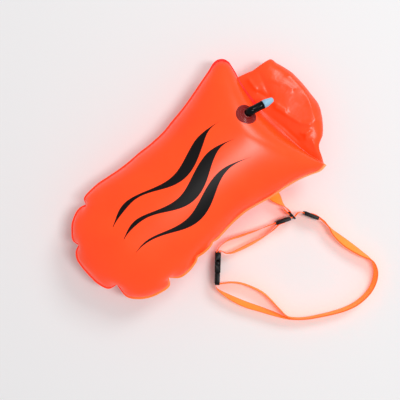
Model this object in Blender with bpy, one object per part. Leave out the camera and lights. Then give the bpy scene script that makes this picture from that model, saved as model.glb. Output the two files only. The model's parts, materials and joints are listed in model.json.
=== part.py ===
"""Open water swim buoy: an inflated two-panel bag with a roll-top dry pouch, an
oral valve, a leash and a waist belt. Blender 4.5, metres, +Z up.

+X runs along the bag towards its roll-top neck, the seam lies level at SEAM_HEIGHT,
and the origin is on the floor under the middle of the bag. The belt stands on its
edge on the floor, on the -Y side.
"""

import math

import bmesh
import bpy
from mathutils import Matrix, Vector
from mathutils.bvhtree import BVHTree

# General
GAP = 0.0003
SEAM_MERGE = 0.000001
CUT_OVERRUN = 0.002
FLOOR_CLEARANCE = 0.0005
SMOOTH_ANGLE = math.radians(40)
ROUNDED_ANGLE = math.radians(50)

# Bag: two welded panels of coated sheet
BAG_HALF_LENGTH = 0.235
BAG_HALF_WIDTH = 0.143
SEAM_HEIGHT = 0.065
TOP_RISE = 0.0655
BELLY_DROP = 0.0705
PANEL_WALL = 0.0008
SIDE_WELD_WIDTH = 0.006
HEAD_WELD_WIDTH = 0.011
TAIL_TAPER = 0.110
HEAD_TAPER = 0.075
SPINE_TAIL_X = TAIL_TAPER - BAG_HALF_LENGTH
SPINE_HEAD_X = BAG_HALF_LENGTH - HEAD_TAPER
OUTLINE_STEP = 0.015
DOME_RINGS = 8
SIDE_PROFILE_SHARE = 0.52
HEAD_PROFILE_SHARE = 0.60
HEAD_CORNER_SHARE = 0.17
TAIL_PROFILE_SHARE = 0.56
TAIL_RISE_SHARE = 0.93
HEAD_RISE_SHARE = 0.97

# The outline, as shares of the half length and the half width. Each run is one smooth
# curve, and the runs meet at the creases that the welded seam makes in the round tail.
LEFT_OUTLINE_SHARES = (
    ((-0.990, 0.00), (-0.988, 0.15), (-0.975, 0.29), (-0.935, 0.38), (-0.885, 0.415)),
    ((-0.885, 0.415), (-0.893, 0.52), (-0.850, 0.62), (-0.800, 0.70), (-0.720, 0.765),
     (-0.660, 0.775), (-0.615, 0.752)),
    ((-0.615, 0.752), (-0.595, 0.83), (-0.540, 0.853), (-0.430, 0.855), (-0.330, 0.83),
     (-0.230, 0.805)),
    ((-0.230, 0.805), (-0.130, 0.79), (0.0, 0.785), (0.10, 0.77), (0.25, 0.772),
     (0.36, 0.80), (0.50, 0.832), (0.62, 0.873), (0.75, 0.925), (0.86, 0.968),
     (0.93, 1.0), (0.979, 0.995), (1.019, 0.945), (1.035, 0.87)),
)
HEAD_OUTLINE_SHARES = (
    ((1.035, 0.87), (1.018, 0.72), (0.990, 0.53), (0.974, 0.25), (0.971, 0.0),
     (0.978, -0.25), (0.990, -0.50), (1.008, -0.72), (1.030, -0.90), (1.045, -1.02)),
)
RIGHT_OUTLINE_SHARES = (
    ((1.045, -1.02), (0.98, -1.035), (0.90, -0.985), (0.80, -0.935), (0.68, -0.893),
     (0.55, -0.862), (0.42, -0.812), (0.30, -0.772), (0.15, -0.77), (0.0, -0.79),
     (-0.055, -0.775)),
    ((-0.055, -0.775), (-0.090, -0.80), (-0.160, -0.806), (-0.232, -0.79)),
    ((-0.232, -0.79), (-0.270, -0.825), (-0.360, -0.850), (-0.450, -0.830),
     (-0.520, -0.725)),
    ((-0.520, -0.725), (-0.560, -0.818), (-0.650, -0.805), (-0.740, -0.755),
     (-0.820, -0.665), (-0.880, -0.530), (-0.872, -0.325)),
    ((-0.872, -0.325), (-0.945, -0.290), (-0.982, -0.15), (-0.990, 0.00)),
)

# Inner dry pouch, lying flat between the two air chambers
LINER_THICKNESS = 0.0012
LINER_INSET = 0.0015
WELD_FACE = LINER_THICKNESS / 2 + GAP

# Roll-top neck: a flat tube that droops from the head seam into a closed roll
NECK_CENTRE_Y = -0.010
NECK_WIDTH = 0.204
NECK_ROWS = 12
NECK_COLUMNS = 16
NECK_EDGE = 0.0016
NECK_BASE_THICKNESS = 0.0030
NECK_SEAM_GAP = 0.0008
NECK_REACH = 0.0905
NECK_SPREAD = 0.034
NECK_PUFF = 0.022
ROLL_BEYOND_BAG = 0.057
ROLL_STATION_X = BAG_HALF_LENGTH + ROLL_BEYOND_BAG
ROLL_RADIUS = 0.035
ROLL_HALF_STRAIGHT = 0.025
# Each row: share along, reach share, height share from the roll's top up to the seam,
# puff share, and how far the row has drawn in from a straight line to the bent roll.
NECK_PATH_SHARES = (
    (0.00, 0.00, 1.000, 0.00, 0.00),
    (0.12, 0.14, 1.038, 0.30, 0.00),
    (0.30, 0.42, 1.115, 0.80, 0.07),
    (0.48, 0.70, 1.076, 1.00, 0.13),
    (0.64, 0.93, 0.809, 0.95, 0.22),
    (0.78, 1.00, 0.465, 0.70, 0.36),
    (0.90, 0.93, 0.216, 0.35, 0.66),
    (1.00, 0.84, 0.044, 0.06, 1.00),
)
# How far the neck reaches out at each place across, from its right side (-1) to its left
NECK_REACH_SHARES = (
    (-1.00, 0.60), (-0.69, 0.77), (-0.41, 0.95), (0.07, 1.00), (0.83, 0.99), (1.00, 0.96),
)
# How much of the spread towards the bag's right corner is left at each place along
NECK_SPREAD_SHARES = ((0.00, 1.00), (0.12, 0.70), (0.30, 0.10), (0.45, 0.00), (1.00, 0.00))
NECK_CROWN_SHARE = 0.6
NECK_LOOK_SHARE = 0.02

# Rolled mouth and its stiffener
ROLL_TURNS_SHARE = 2.5
ROLL_STEPS_PER_TURN = 10
ROLL_STATIONS = 16
ROLL_SHEET = 0.0012
ROLL_PITCH = 0.0019
ROLL_CORE_HEIGHT = 0.0186
ROLL_CORE_WIDTH = 0.0022
STIFFENER_HEIGHT = 0.0160
STIFFENER_THICKNESS = 0.0012
ROLL_SQUARENESS_SHARE = 0.75

# Webbing
WEBBING_WIDTH = 0.025
WEBBING_THICKNESS = 0.0010
WEBBING_STEP = 0.008
STITCHED_OVERLAP = 0.010
SQUARE_WRAP_SHARE = 0.86
BAR_MEETING_SHARE = 0.08
WRAP_TURN_SHARES = (0.75, 0.82)

# Side-release buckles for 25 mm webbing
BUCKLE_LENGTH = 0.064
BUCKLE_WIDTH = 0.0325
BUCKLE_THICKNESS = 0.011
BUCKLE_EDGE_ROUND = 0.0012
BUCKLE_SPLIT_X = 0.008
BUCKLE_BAR = 0.0031
BUCKLE_BAR_THICKNESS = 0.0044
BUCKLE_SLOT_LENGTH = 0.0054
BUCKLE_SLOT_HEIGHT = 0.0264
BUCKLE_CAVITY_WIDTH = 0.0264
BUCKLE_CAVITY_THICKNESS = 0.0066
BUCKLE_CAVITY_DEPTH = 0.028
BUCKLE_WINDOW_LENGTH = 0.0105
BUCKLE_WINDOW_FROM_MOUTH = 0.0150
PLUG_THICKNESS = 0.0096
TONGUE_WIDTH = 0.0050
TONGUE_THICKNESS = 0.0044
TONGUE_LENGTH = 0.024
PRONG_THICKNESS = 0.0052
PRONG_ROOT_ROUND = 0.0019
PRONG_ROOT_OFFSET = 0.0095
PRONG_CATCH_HALF_WIDTH = 0.0158
PRONG_LENGTH = 0.0245
PRONG_ARM_WIDTH = 0.0038
PRONG_ROOT_STEPS = 6
PRONG_RAMP_SHARE = 0.55
PRONG_BARB_SHARE = 0.2
# The prong's tip: shares of half the arm's width, from the tip and from the arm's middle
PRONG_TIP_SHARES = ((2.0, -0.8), (0.0, -0.4), (0.0, 0.8), (1.0, 1.6))
WRAP_RADIUS = 0.0034
WAIST_SHARE = 0.955

# The roll-top's own buckle, behind the roll and level with its middle
ROLL_BUCKLE_BEHIND = 0.070
ROLL_BUCKLE_X = ROLL_STATION_X - ROLL_BUCKLE_BEHIND
ROLL_BUCKLE_HEIGHT = 0.0168
ROLL_TAB_SHARES = (0.80, 0.90, 1.0)
ROLL_TAB_LEAD = 0.010
ROLL_TAB_RETURN = 0.006

# Belt adjusters with a stepped centre bar
ADJUSTER_LENGTH = 0.030
ADJUSTER_HEIGHT = 0.0324
ADJUSTER_BAR = 0.0020
ADJUSTER_END_BAR = 0.0030
ADJUSTER_RAIL = 0.0030
ADJUSTER_EDGE_ROUND = 0.0006

# Leash ring
RING_LENGTH = 0.0180
RING_HEIGHT = 0.0340
RING_BAR = 0.0034
RING_EDGE_ROUND = 0.0009

# Oral valve
VALVE_FROM_HEAD = 0.0411
VALVE_X = BAG_HALF_LENGTH - VALVE_FROM_HEAD
VALVE_Y = 0.0255
VALVE_PROBE_SHARE = 0.7
VALVE_FLANGE_RADIUS = 0.0200
VALVE_FLANGE_THICKNESS = 0.0010
VALVE_LIP_SHARE = 0.7
VALVE_FOOT_SHARE = 1.2
VALVE_SEAT_SHARE = 2.0
VALVE_COLLAR_RADIUS = 0.0105
VALVE_COLLAR_HEIGHT = 0.0045
VALVE_RIB_RADIUS = 0.0150
VALVE_RIB_HEIGHT = 0.0012
VALVE_SEGMENTS = 24
TUBE_RADIUS = 0.0069
TUBE_BORE_RADIUS = 0.0042
TUBE_BEND_RADIUS = 0.0105
TUBE_STEM = 0.0085
TUBE_STEM_BELOW = 0.0070
TUBE_BEND_STEPS = 7
TUBE_LEG = 0.0205
TUBE_SEGMENTS = 16
LEG_TURN = math.radians(-14)
LEG_RISE = math.radians(-10)
MOUTHPIECE_LENGTH = 0.0215
MOUTHPIECE_BASE_RADIUS = 0.0077
MOUTHPIECE_TIP_RADIUS = 0.0046
MOUTHPIECE_BORE_RADIUS = 0.0024
# The mouthpiece's outside: shares of its length and of its base's or its tip's radius
MOUTHPIECE_BASE_SHARES = ((0.30, 1.0), (0.42, 0.93))
MOUTHPIECE_TIP_SHARES = ((0.85, 1.06), (0.96, 0.95), (1.0, 0.75))
SPIGOT_RADIUS = 0.0039
SPIGOT_LENGTH = 0.0090
SEAL_PLACE_SHARE = 0.6
SEAL_GROOVE_DEPTH = 0.0009
SEAL_WIDTH = 0.0016
PIN_RADIUS = 0.0020
PIN_HEAD_LENGTH = 0.0080
PIN_END_SHARE = 0.97

# Leash patch on the belly
PATCH_X = 0.137
PATCH_LENGTH = 0.044
PATCH_INNER_Y = -0.068
PATCH_OUTER_Y = -0.104
PATCH_THICKNESS = 0.0012
PATCH_SEAT = 0.0006
PATCH_COLUMNS = 6
PATCH_ROWS = 7
LEASH_SEAT = 0.0009
LEASH_WELD_YS = (-0.0720, -0.0800, -0.0880, -0.0960)
LEASH_SEWN = 0.013

# How far webbing leans, in degrees: 0 stands on its edge and 90 lies flat
FLAT_LEAN = 90.0
LEASH_LEANS = (80.0, 34.0, 4.0)

# Where the belt's hardware stands, and the way that each piece points in plan
RING_CENTRE = (0.1362, -0.1785, 0.0175)
SHORT_ADJUSTER_CENTRE = (0.1165, -0.1745, 0.0170)
SHORT_ADJUSTER_AHEAD_SHARES = (0.920, -0.392, 0.0)
LONG_ADJUSTER_CENTRE = (0.1640, -0.2050, 0.0170)
LONG_ADJUSTER_AHEAD_SHARES = (0.433, -0.901, 0.0)
BELT_BUCKLE_CENTRE = (-0.0424, -0.1572, 0.0168)
BELT_BUCKLE_AHEAD_SHARES = (-0.695, -0.718, 0.0)

# The webbing's routes between the hardware, along the middle of each strand
LEASH_ROUTE = ((0.1370, -0.1190, 0.0225), (0.1378, -0.1360, 0.0190), (0.1382, -0.1510, 0.0172))
SHORT_STRAP_ROUTE = (
    (-0.0200, -0.1302, 0.0168), (-0.0110, -0.1270, 0.0164), (0.0010, -0.1278, 0.0156),
    (0.0150, -0.1322, 0.0148), (0.0320, -0.1398, 0.0142), (0.0500, -0.1477, 0.0144),
    (0.0700, -0.1562, 0.0154),
)
SHORT_TAIL_ROUTE = (
    (-0.0158, -0.1352, 0.0168), (-0.0118, -0.1372, 0.0166), (-0.0080, -0.1432, 0.0160),
    (0.0010, -0.1545, 0.0150), (0.0178, -0.1652, 0.0142), (0.0434, -0.1735, 0.0138),
    (0.0700, -0.1778, 0.0146), (0.0900, -0.1776, 0.0158),
)
RING_TO_LONG_ROUTE = (
    (0.1358, -0.1826, 0.0170), (0.1408, -0.1842, 0.0170), (0.1470, -0.1832, 0.0170),
    (0.1530, -0.1850, 0.0170),
)
LONG_ROUTE = (
    (0.1722, -0.2270, 0.0160), (0.1748, -0.2420, 0.0148), (0.1760, -0.2580, 0.0138),
    (0.1800, -0.2780, 0.0134), (0.1840, -0.3000, 0.0132), (0.1895, -0.3280, 0.0132),
    (0.1930, -0.3520, 0.0132), (0.1890, -0.3720, 0.0132), (0.1760, -0.3860, 0.0132),
    (0.1560, -0.3955, 0.0132), (0.1330, -0.3990, 0.0132), (0.1080, -0.3965, 0.0132),
    (0.0860, -0.3890, 0.0132), (0.0640, -0.3780, 0.0132), (0.0430, -0.3655, 0.0132),
    (0.0240, -0.3530, 0.0132), (0.0080, -0.3395, 0.0132),
)
LONG_STRAP_RETURN_ROUTE = (
    (-0.0050, -0.3230, 0.0134), (-0.0092, -0.3050, 0.0136), (-0.0108, -0.2790, 0.0140),
    (-0.0178, -0.2500, 0.0146), (-0.0300, -0.2250, 0.0152), (-0.0455, -0.2000, 0.0162),
    (-0.0560, -0.1878, 0.0167),
)
LONG_TAIL_RETURN_ROUTE = (
    (-0.0078, -0.3228, 0.0134), (-0.0200, -0.3010, 0.0136), (-0.0350, -0.2740, 0.0140),
    (-0.0503, -0.2470, 0.0146), (-0.0625, -0.2180, 0.0154), (-0.0690, -0.1960, 0.0164),
    (-0.0702, -0.1850, 0.0167),
)

# Where the straps pass an adjuster, as shares of its length
SHORT_THROUGH_SHARES = (-1.033, -0.8, -0.4, 0.0, 0.4, 0.667)
LONG_THROUGH_SHARES = (-0.6, -0.333, 0.0, 0.4, 0.667)

# Colours, as sRGB hex values
ORANGE = "FF5626"
NECK_ORANGE = "FF572E"
WEBBING_ORANGE = "F7A24D"
BLACK = "1C191C"
VALVE_RED = "902824"
MOUTHPIECE_BLUE = "A5CFE7"
GREY = "A0A0A2"

UP = Vector((0.0, 0.0, 1.0))


def linear(channel):
    """An sRGB channel from 0 to 1 as a linear one."""
    return channel / 12.92 if channel <= 0.04045 else ((channel + 0.055) / 1.055)**2.4


def material(name, hex_colour, roughness):
    colour = [linear(int(hex_colour[i:i + 2], 16) / 255) for i in (0, 2, 4)]
    found = bpy.data.materials.get(name) or bpy.data.materials.new(name)
    found.use_nodes = True
    shader = found.node_tree.nodes["Principled BSDF"]
    shader.inputs["Base Color"].default_value = (*colour, 1.0)
    shader.inputs["Roughness"].default_value = roughness
    shader.inputs["Metallic"].default_value = 0.0
    found.diffuse_color = (*colour, 1.0)
    return found


def add_object(name, mesh, finish, smooth=True):
    mesh.materials.append(finish)
    if smooth:
        mesh.shade_smooth()
        mesh.set_sharp_from_angle(angle=SMOOTH_ANGLE)
    made = bpy.data.objects.new(name, mesh)
    bpy.context.scene.collection.objects.link(made)
    return made


def mesh_from(name, points, faces, merge=0.0):
    """A mesh with its faces turned outwards, and points closer than merge made one."""
    mesh = bpy.data.meshes.new(name)
    mesh.from_pydata([tuple(p) for p in points], [], faces)
    bm = bmesh.new()
    bm.from_mesh(mesh)
    if merge:
        bmesh.ops.remove_doubles(bm, verts=bm.verts, dist=merge)
    wide = [face for face in bm.faces if len(face.verts) > 4]
    bmesh.ops.triangulate(bm, faces=wide, ngon_method="BEAUTY")
    bmesh.ops.recalc_face_normals(bm, faces=bm.faces)
    if bm.calc_volume(signed=True) < 0:
        bmesh.ops.reverse_faces(bm, faces=bm.faces)
    bm.to_mesh(mesh)
    bm.free()
    return mesh


def joined_rings(rings):
    """The points of closed rings, each the same length, and the faces between them."""
    count = len(rings[0])
    points = [p for ring in rings for p in ring]
    faces = []
    for r in range(len(rings) - 1):
        for i in range(count):
            j = (i + 1) % count
            low, high = r * count, (r + 1) * count
            faces.append((low + i, low + j, high + j, high + i))
    return points, faces


def loft(name, rings):
    """Closed rings of points joined into a solid, with a face across each end."""
    points, faces = joined_rings(rings)
    count = len(rings[0])
    faces.append(tuple(reversed(range(count))))
    faces.append(tuple(range(len(points) - count, len(points))))
    return mesh_from(name, points, faces)


def pivot_at(made, pivot):
    """Puts the object's origin on its joint's axis, with the shape left where it is."""
    back = Matrix.Translation(-Vector(pivot))
    made.data.transform(back)
    made.location = pivot
    for child in bpy.data.objects:
        if child.parent == made:
            child.matrix_parent_inverse = back
    return made


def catmull(points, steps_for):
    """A smooth open curve through the points. steps_for gives a stretch's step count."""
    held = [2 * points[0] - points[1], *points, 2 * points[-1] - points[-2]]
    curve = [points[0].copy()]
    for i in range(1, len(held) - 2):
        a, b, c, d = held[i - 1:i + 3]
        steps = steps_for(Vector((c - b)[:3]).length)
        for s in range(1, steps + 1):
            t = s / steps
            curve.append(0.5 * (2 * b + (c - a) * t + (2 * a - 5 * b + 4 * c - d) * t**2
                                + (3 * b - a - 3 * c + d) * t**3))
    return curve


def clamp(value, low, high):
    return max(low, min(high, value))


def share_between(table, at, column):
    """Reads a table of rows sorted by their first value, with a smooth step between."""
    for low, high in zip(table, table[1:]):
        if at <= high[0]:
            t = (at - low[0]) / (high[0] - low[0])
            return low[column] + (high[column] - low[column]) * t
    return table[-1][column]


# The bag

def edge_curve(run):
    """One run of the outline as a smooth curve in plan."""
    points = [Vector((x * BAG_HALF_LENGTH, y * BAG_HALF_WIDTH, 0.0)) for x, y in run]
    return catmull(points, lambda d: max(1, round(d / OUTLINE_STEP)))


def outline():
    """The bag's outer edge, as a closed loop of points in plan, tail to left to head."""
    loop = []
    for run in LEFT_OUTLINE_SHARES + HEAD_OUTLINE_SHARES + RIGHT_OUTLINE_SHARES:
        loop += edge_curve(run)[:-1]
    return loop


def head_edge_x(y):
    """Where the head seam's outer edge lies at this distance from the centre line."""
    edge = sorted((p.y, p.x) for p in edge_curve(HEAD_OUTLINE_SHARES[0]))
    return share_between(edge, clamp(y, edge[0][0], edge[-1][0]), 1)


def spine_point(edge):
    return Vector((clamp(edge.x, SPINE_TAIL_X, SPINE_HEAD_X), 0.0, 0.0))


def weld_width(edge, spine):
    """The weld is wider across the head, where it also holds the neck."""
    ahead = clamp((edge - spine).normalized().x, 0.0, 1.0)
    return SIDE_WELD_WIDTH + (HEAD_WELD_WIDTH - SIDE_WELD_WIDTH) * ahead**2


def profile_share(edge, spine):
    """How the dome rounds over towards this part of the edge. The head's two corners,
    where the sheet is held from both sides, are the flattest."""
    ray = (edge - spine).normalized()
    end = HEAD_PROFILE_SHARE if ray.x > 0 else TAIL_PROFILE_SHARE
    corner = HEAD_CORNER_SHARE * (2 * max(0.0, ray.x) * ray.y)**2
    return SIDE_PROFILE_SHARE + (end - SIDE_PROFILE_SHARE) * ray.x**2 + corner


def rise_share(x):
    """The spine's height as a share of the bag's, a little lower at both ends."""
    if x < 0:
        return 1 - (1 - TAIL_RISE_SHARE) * (x / SPINE_TAIL_X)**2
    return 1 - (1 - HEAD_RISE_SHARE) * (x / SPINE_HEAD_X)**2


def dome_point(edge, out, rise, inset):
    """A point of an inflated panel: out is 0 on the spine and 1 at the weld."""
    spine = spine_point(edge)
    reach = (edge - spine).length - weld_width(edge, spine) - inset
    ray = (edge - spine).normalized()
    height = (rise - inset) * rise_share(spine.x)
    height *= max(0.0, 1 - out**2)**profile_share(edge, spine)
    place = spine + ray * reach * out
    return place.x, place.y, height


def panel(name, finish, side, rise):
    """One panel with its weld. side is 1 for the top and -1 for the belly."""
    edges = outline()
    outs = [math.sin(math.pi / 2 * k / DOME_RINGS) for k in range(DOME_RINGS, 0, -1)]

    def surface(inset):
        rings = []
        for out in outs:
            ring = []
            for edge in edges:
                x, y, height = dome_point(edge, out, rise, inset)
                base = WELD_FACE + PANEL_WALL - inset
                z = SEAM_HEIGHT + side * (base + height)
                ring.append(Vector((x, y, max(z, inset))))
            rings.append(ring)
        return rings

    def flat_ring(height):
        return [Vector((edge.x, edge.y, SEAM_HEIGHT + side * height)) for edge in edges]

    outer = surface(0.0)
    inner = surface(PANEL_WALL)
    rings = list(reversed(outer)) + [flat_ring(WELD_FACE + PANEL_WALL), flat_ring(WELD_FACE)]
    rings += inner
    return add_object(name, loft(name, rings), finish)


def dry_liner(finish):
    """The dry pouch's two walls, pressed flat by the air and trapped in the weld."""
    edges = outline()
    rings = []
    for height in (-LINER_THICKNESS / 2, LINER_THICKNESS / 2):
        ring = []
        for edge in edges:
            ray = (edge - spine_point(edge)).normalized()
            place = edge - ray * LINER_INSET
            ring.append(Vector((place.x, place.y, SEAM_HEIGHT + height)))
        rings.append(ring)
    return add_object("dry_liner", loft("dry_liner", rings), finish)


# The roll-top

def roll_bend(along):
    """Plan place and outward angle on the bent roll. along runs from -1 to 1."""
    travelled = abs(along) * NECK_WIDTH / 2
    side = 1 if along >= 0 else -1
    if travelled <= ROLL_HALF_STRAIGHT:
        return ROLL_STATION_X, side * travelled, 0.0
    angle = (travelled - ROLL_HALF_STRAIGHT) / ROLL_RADIUS
    x = ROLL_STATION_X - ROLL_RADIUS * (1 - math.cos(angle))
    y = ROLL_HALF_STRAIGHT + ROLL_RADIUS * math.sin(angle)
    return x, side * y, side * angle


def neck_middle(down, across):
    """The neck's middle sheet, with the outward direction in plan there."""
    reach = share_between(NECK_PATH_SHARES, down, 1) * NECK_REACH
    reach *= share_between(NECK_REACH_SHARES, across, 1)
    roll_top = roll_height() * 2 + FLOOR_CLEARANCE
    height = share_between(NECK_PATH_SHARES, down, 2) * (SEAM_HEIGHT - roll_top) + roll_top
    drawn = share_between(NECK_PATH_SHARES, down, 4)
    spread = share_between(NECK_SPREAD_SHARES, down, 1) * NECK_SPREAD * min(0.0, across)**2
    side = NECK_CENTRE_Y + across * NECK_WIDTH / 2 - spread
    straight_x = head_edge_x(side) + NECK_SEAM_GAP + reach
    bent_x, bent_y, angle = roll_bend(across)
    x = straight_x + (bent_x - straight_x) * drawn
    y = side + (NECK_CENTRE_Y + bent_y - side) * drawn
    return Vector((x, y, height)), angle * drawn


def neck_point(down, across, face):
    """A point on the neck's top (face 1) or under side (face -1)."""
    place, angle = neck_middle(down, across)
    before = neck_middle(max(0.0, down - NECK_LOOK_SHARE), across)[0]
    after = neck_middle(min(1.0, down + NECK_LOOK_SHARE), across)[0]
    outward = Vector((math.cos(angle), math.sin(angle), 0.0))
    travel = after - before
    level = travel.dot(outward)
    normal = (outward * -travel.z + UP * level).normalized()
    puff = share_between(NECK_PATH_SHARES, down, 3) * NECK_PUFF
    crown = max(0.0, 1 - across**4)**NECK_CROWN_SHARE
    base = NECK_EDGE + (NECK_BASE_THICKNESS - NECK_EDGE) * (1 - down)
    return place + normal * face * (base + puff * crown) / 2


def rolltop_neck(finish):
    rows = []
    for r in range(NECK_ROWS + 1):
        down = r / NECK_ROWS
        across = [2 * c / NECK_COLUMNS - 1 for c in range(NECK_COLUMNS + 1)]
        top = [neck_point(down, a, 1) for a in across]
        under = [neck_point(down, a, -1) for a in reversed(across)]
        rows.append(top + under)
    return add_object("rolltop_neck", loft("rolltop_neck", rows), finish)


def roll_height():
    return ROLL_TURNS_SHARE * ROLL_PITCH + ROLL_CORE_HEIGHT / 2 + ROLL_SHEET


def roll_section():
    """The spiral of the rolled mouth, as (outward, up) about the roll's own middle."""
    steps = round(ROLL_STEPS_PER_TURN * ROLL_TURNS_SHARE)
    core = (ROLL_CORE_WIDTH + ROLL_SHEET) / 2
    tall = (ROLL_CORE_HEIGHT + ROLL_SHEET) / 2

    def spiral(offset):
        line = []
        for s in range(steps + 1):
            angle = 2 * math.pi * s / ROLL_STEPS_PER_TURN - math.pi / 2
            grown = ROLL_PITCH * s / ROLL_STEPS_PER_TURN + offset
            c, n = math.cos(angle), math.sin(angle)
            x = math.copysign(abs(c)**ROLL_SQUARENESS_SHARE, c) * (core + grown)
            z = math.copysign(abs(n)**ROLL_SQUARENESS_SHARE, n) * (tall + grown)
            line.append((x, z))
        return line

    return spiral(ROLL_SHEET / 2) + list(reversed(spiral(-ROLL_SHEET / 2)))


def along_roll(section, share):
    """Places a section's points on the bent roll."""
    x, y, angle = roll_bend(share)
    outward = Vector((math.cos(angle), math.sin(angle), 0.0))
    middle = Vector((x, NECK_CENTRE_Y + y, roll_height() + FLOOR_CLEARANCE))
    return [middle + outward * out + UP * up for out, up in section]


def rolled_mouth(finish):
    section = roll_section()
    shares = [2 * s / ROLL_STATIONS - 1 for s in range(ROLL_STATIONS + 1)]
    rings = [along_roll(section, share) for share in shares]
    return add_object("rolled_mouth", loft("rolled_mouth", rings), finish)


def rolltop_stiffener(finish):
    out, up = STIFFENER_THICKNESS / 2, STIFFENER_HEIGHT / 2
    section = [(-out, -up), (out, -up), (out, up), (-out, up)]
    shares = [2 * s / ROLL_STATIONS - 1 for s in range(ROLL_STATIONS + 1)]
    rings = [along_roll(section, share) for share in shares]
    return add_object("rolltop_stiffener", loft("rolltop_stiffener", rings), finish)


# Webbing

def ribbon(name, route, finish, lean=None, width=WEBBING_WIDTH):
    """Webbing along a route. lean turns it from standing on its edge (0) to flat (90),
    one value for each point of the route."""
    leans = lean or [0.0] * len(route)
    tagged = [Vector((*p, a)) for p, a in zip(route, leans)]
    curve = smooth_line(tagged)
    rings = []
    for i, at in enumerate(curve):
        place = Vector(at[:3])
        ahead = Vector(curve[min(i + 1, len(curve) - 1)][:3])
        behind = Vector(curve[max(i - 1, 0)][:3])
        travel = (ahead - behind).normalized()
        side = travel.cross(UP).normalized()
        rise = side.cross(travel).normalized()
        turn = math.radians(at[3])
        across = rise * math.cos(turn) + side * math.sin(turn)
        through = side * math.cos(turn) - rise * math.sin(turn)
        half, thin = across * width / 2, through * WEBBING_THICKNESS / 2
        rings.append([place - half - thin, place + half - thin,
                      place + half + thin, place - half + thin])
    return add_object(name, loft(name, rings), finish)


def smooth_line(points):
    return catmull(points, lambda d: max(1, round(d / WEBBING_STEP)))


# Moulded hardware

def frame_matrix(centre, ahead, upward=UP):
    """Local x lies ahead, local y upward and local z through the piece."""
    x = Vector(ahead).normalized()
    y = Vector(upward).normalized()
    z = x.cross(y)
    turned = Matrix((x, y, z)).transposed().to_4x4()
    return Matrix.Translation(centre) @ turned


def prism(name, outline_points, low, high, placed):
    """A flat outline in local x and y, given its thickness from low to high."""
    rings = [[placed @ Vector((x, y, z)) for x, y in outline_points] for z in (low, high)]
    return loft(name, rings)


def rectangle(x0, x1, y0, y1):
    return [(x0, y0), (x1, y0), (x1, y1), (x0, y1)]


def cut(target, outline_points, low, high, placed):
    """Cuts a prism out of the target."""
    name = f"{target.name}_cutter_{len(target.modifiers)}"
    cutter = bpy.data.objects.new(name, prism(name, outline_points, low, high, placed))
    bpy.context.scene.collection.objects.link(cutter)
    cutter.hide_render = True
    cutter.display_type = "WIRE"
    cutter.parent = target
    change = target.modifiers.new(f"Cut {len(target.modifiers)}", "BOOLEAN")
    change.operation = "DIFFERENCE"
    change.solver = "EXACT"
    change.object = cutter


def rounded(target, width, segments=2):
    """Rounds the edges of a solid before it is cut."""
    bm = bmesh.new()
    bm.from_mesh(target.data)
    sharp = [e for e in bm.edges if e.calc_face_angle(0.0) > ROUNDED_ANGLE]
    bmesh.ops.bevel(bm, geom=sharp, offset=width, segments=segments, profile=0.5,
                    affect="EDGES", clamp_overlap=True)
    bm.to_mesh(target.data)
    bm.free()


def buckle_socket(name, placed, finish):
    end, mouth = -BUCKLE_LENGTH / 2, BUCKLE_SPLIT_X
    half = BUCKLE_WIDTH / 2
    waist = half * WAIST_SHARE
    body = [(end, -waist), (end + BUCKLE_SLOT_LENGTH, -half), (mouth, -half),
            (mouth, half), (end + BUCKLE_SLOT_LENGTH, half), (end, waist)]
    made = add_object(name, prism(name, body, -BUCKLE_THICKNESS / 2, BUCKLE_THICKNESS / 2,
                                  placed), finish)
    rounded(made, BUCKLE_EDGE_ROUND)
    bar_inner = end + BUCKLE_BAR
    through = BUCKLE_THICKNESS / 2 + CUT_OVERRUN
    slot = BUCKLE_SLOT_HEIGHT / 2
    cut(made, rectangle(bar_inner, bar_inner + BUCKLE_SLOT_LENGTH, -slot, slot),
        -through, through, placed)
    bar = BUCKLE_BAR_THICKNESS / 2
    for low, high in ((bar, through), (-through, -bar)):
        cut(made, rectangle(end - CUT_OVERRUN, bar_inner + CUT_OVERRUN, -slot, slot),
            low, high, placed)
    cavity, deep = BUCKLE_CAVITY_WIDTH / 2, BUCKLE_CAVITY_THICKNESS / 2
    cut(made, rectangle(mouth - BUCKLE_CAVITY_DEPTH, mouth + CUT_OVERRUN, -cavity, cavity),
        -deep, deep, placed)
    window = mouth - BUCKLE_WINDOW_FROM_MOUTH
    cut(made, rectangle(window - BUCKLE_WINDOW_LENGTH, window, -half - CUT_OVERRUN,
                        half + CUT_OVERRUN), -deep, deep, placed)
    return made


def buckle_plug(name, placed, finish):
    front, end = BUCKLE_SPLIT_X + GAP, BUCKLE_LENGTH / 2
    half, tongue = BUCKLE_WIDTH / 2, TONGUE_WIDTH / 2
    waist = half * WAIST_SHARE
    body = [(front, -half), (end - BUCKLE_SLOT_LENGTH, -half), (end, -waist),
            (end, waist), (end - BUCKLE_SLOT_LENGTH, half), (front, half)]
    made = add_object(name, prism(name, body, -PLUG_THICKNESS / 2, PLUG_THICKNESS / 2,
                                  placed), finish)
    rounded(made, BUCKLE_EDGE_ROUND)
    slot = BUCKLE_SLOT_HEIGHT / 2
    through = PLUG_THICKNESS / 2 + CUT_OVERRUN
    bar_inner = end - BUCKLE_BAR
    cut(made, rectangle(bar_inner - BUCKLE_SLOT_LENGTH, bar_inner, -slot, slot),
        -through, through, placed)
    bar = BUCKLE_BAR_THICKNESS / 2
    for low, high in ((bar, through), (-through, -bar)):
        cut(made, rectangle(bar_inner - CUT_OVERRUN, end + CUT_OVERRUN, -slot, slot),
            low, high, placed)
    guide = prism(f"{name}_tongue", [
        (front + CUT_OVERRUN, -tongue), (front + CUT_OVERRUN, tongue),
        (front - TONGUE_LENGTH + tongue, tongue), (front - TONGUE_LENGTH, tongue / 2),
        (front - TONGUE_LENGTH, -tongue / 2), (front - TONGUE_LENGTH + tongue, -tongue),
    ], -TONGUE_THICKNESS / 2, TONGUE_THICKNESS / 2, placed)
    join(made, guide)
    return made


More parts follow.
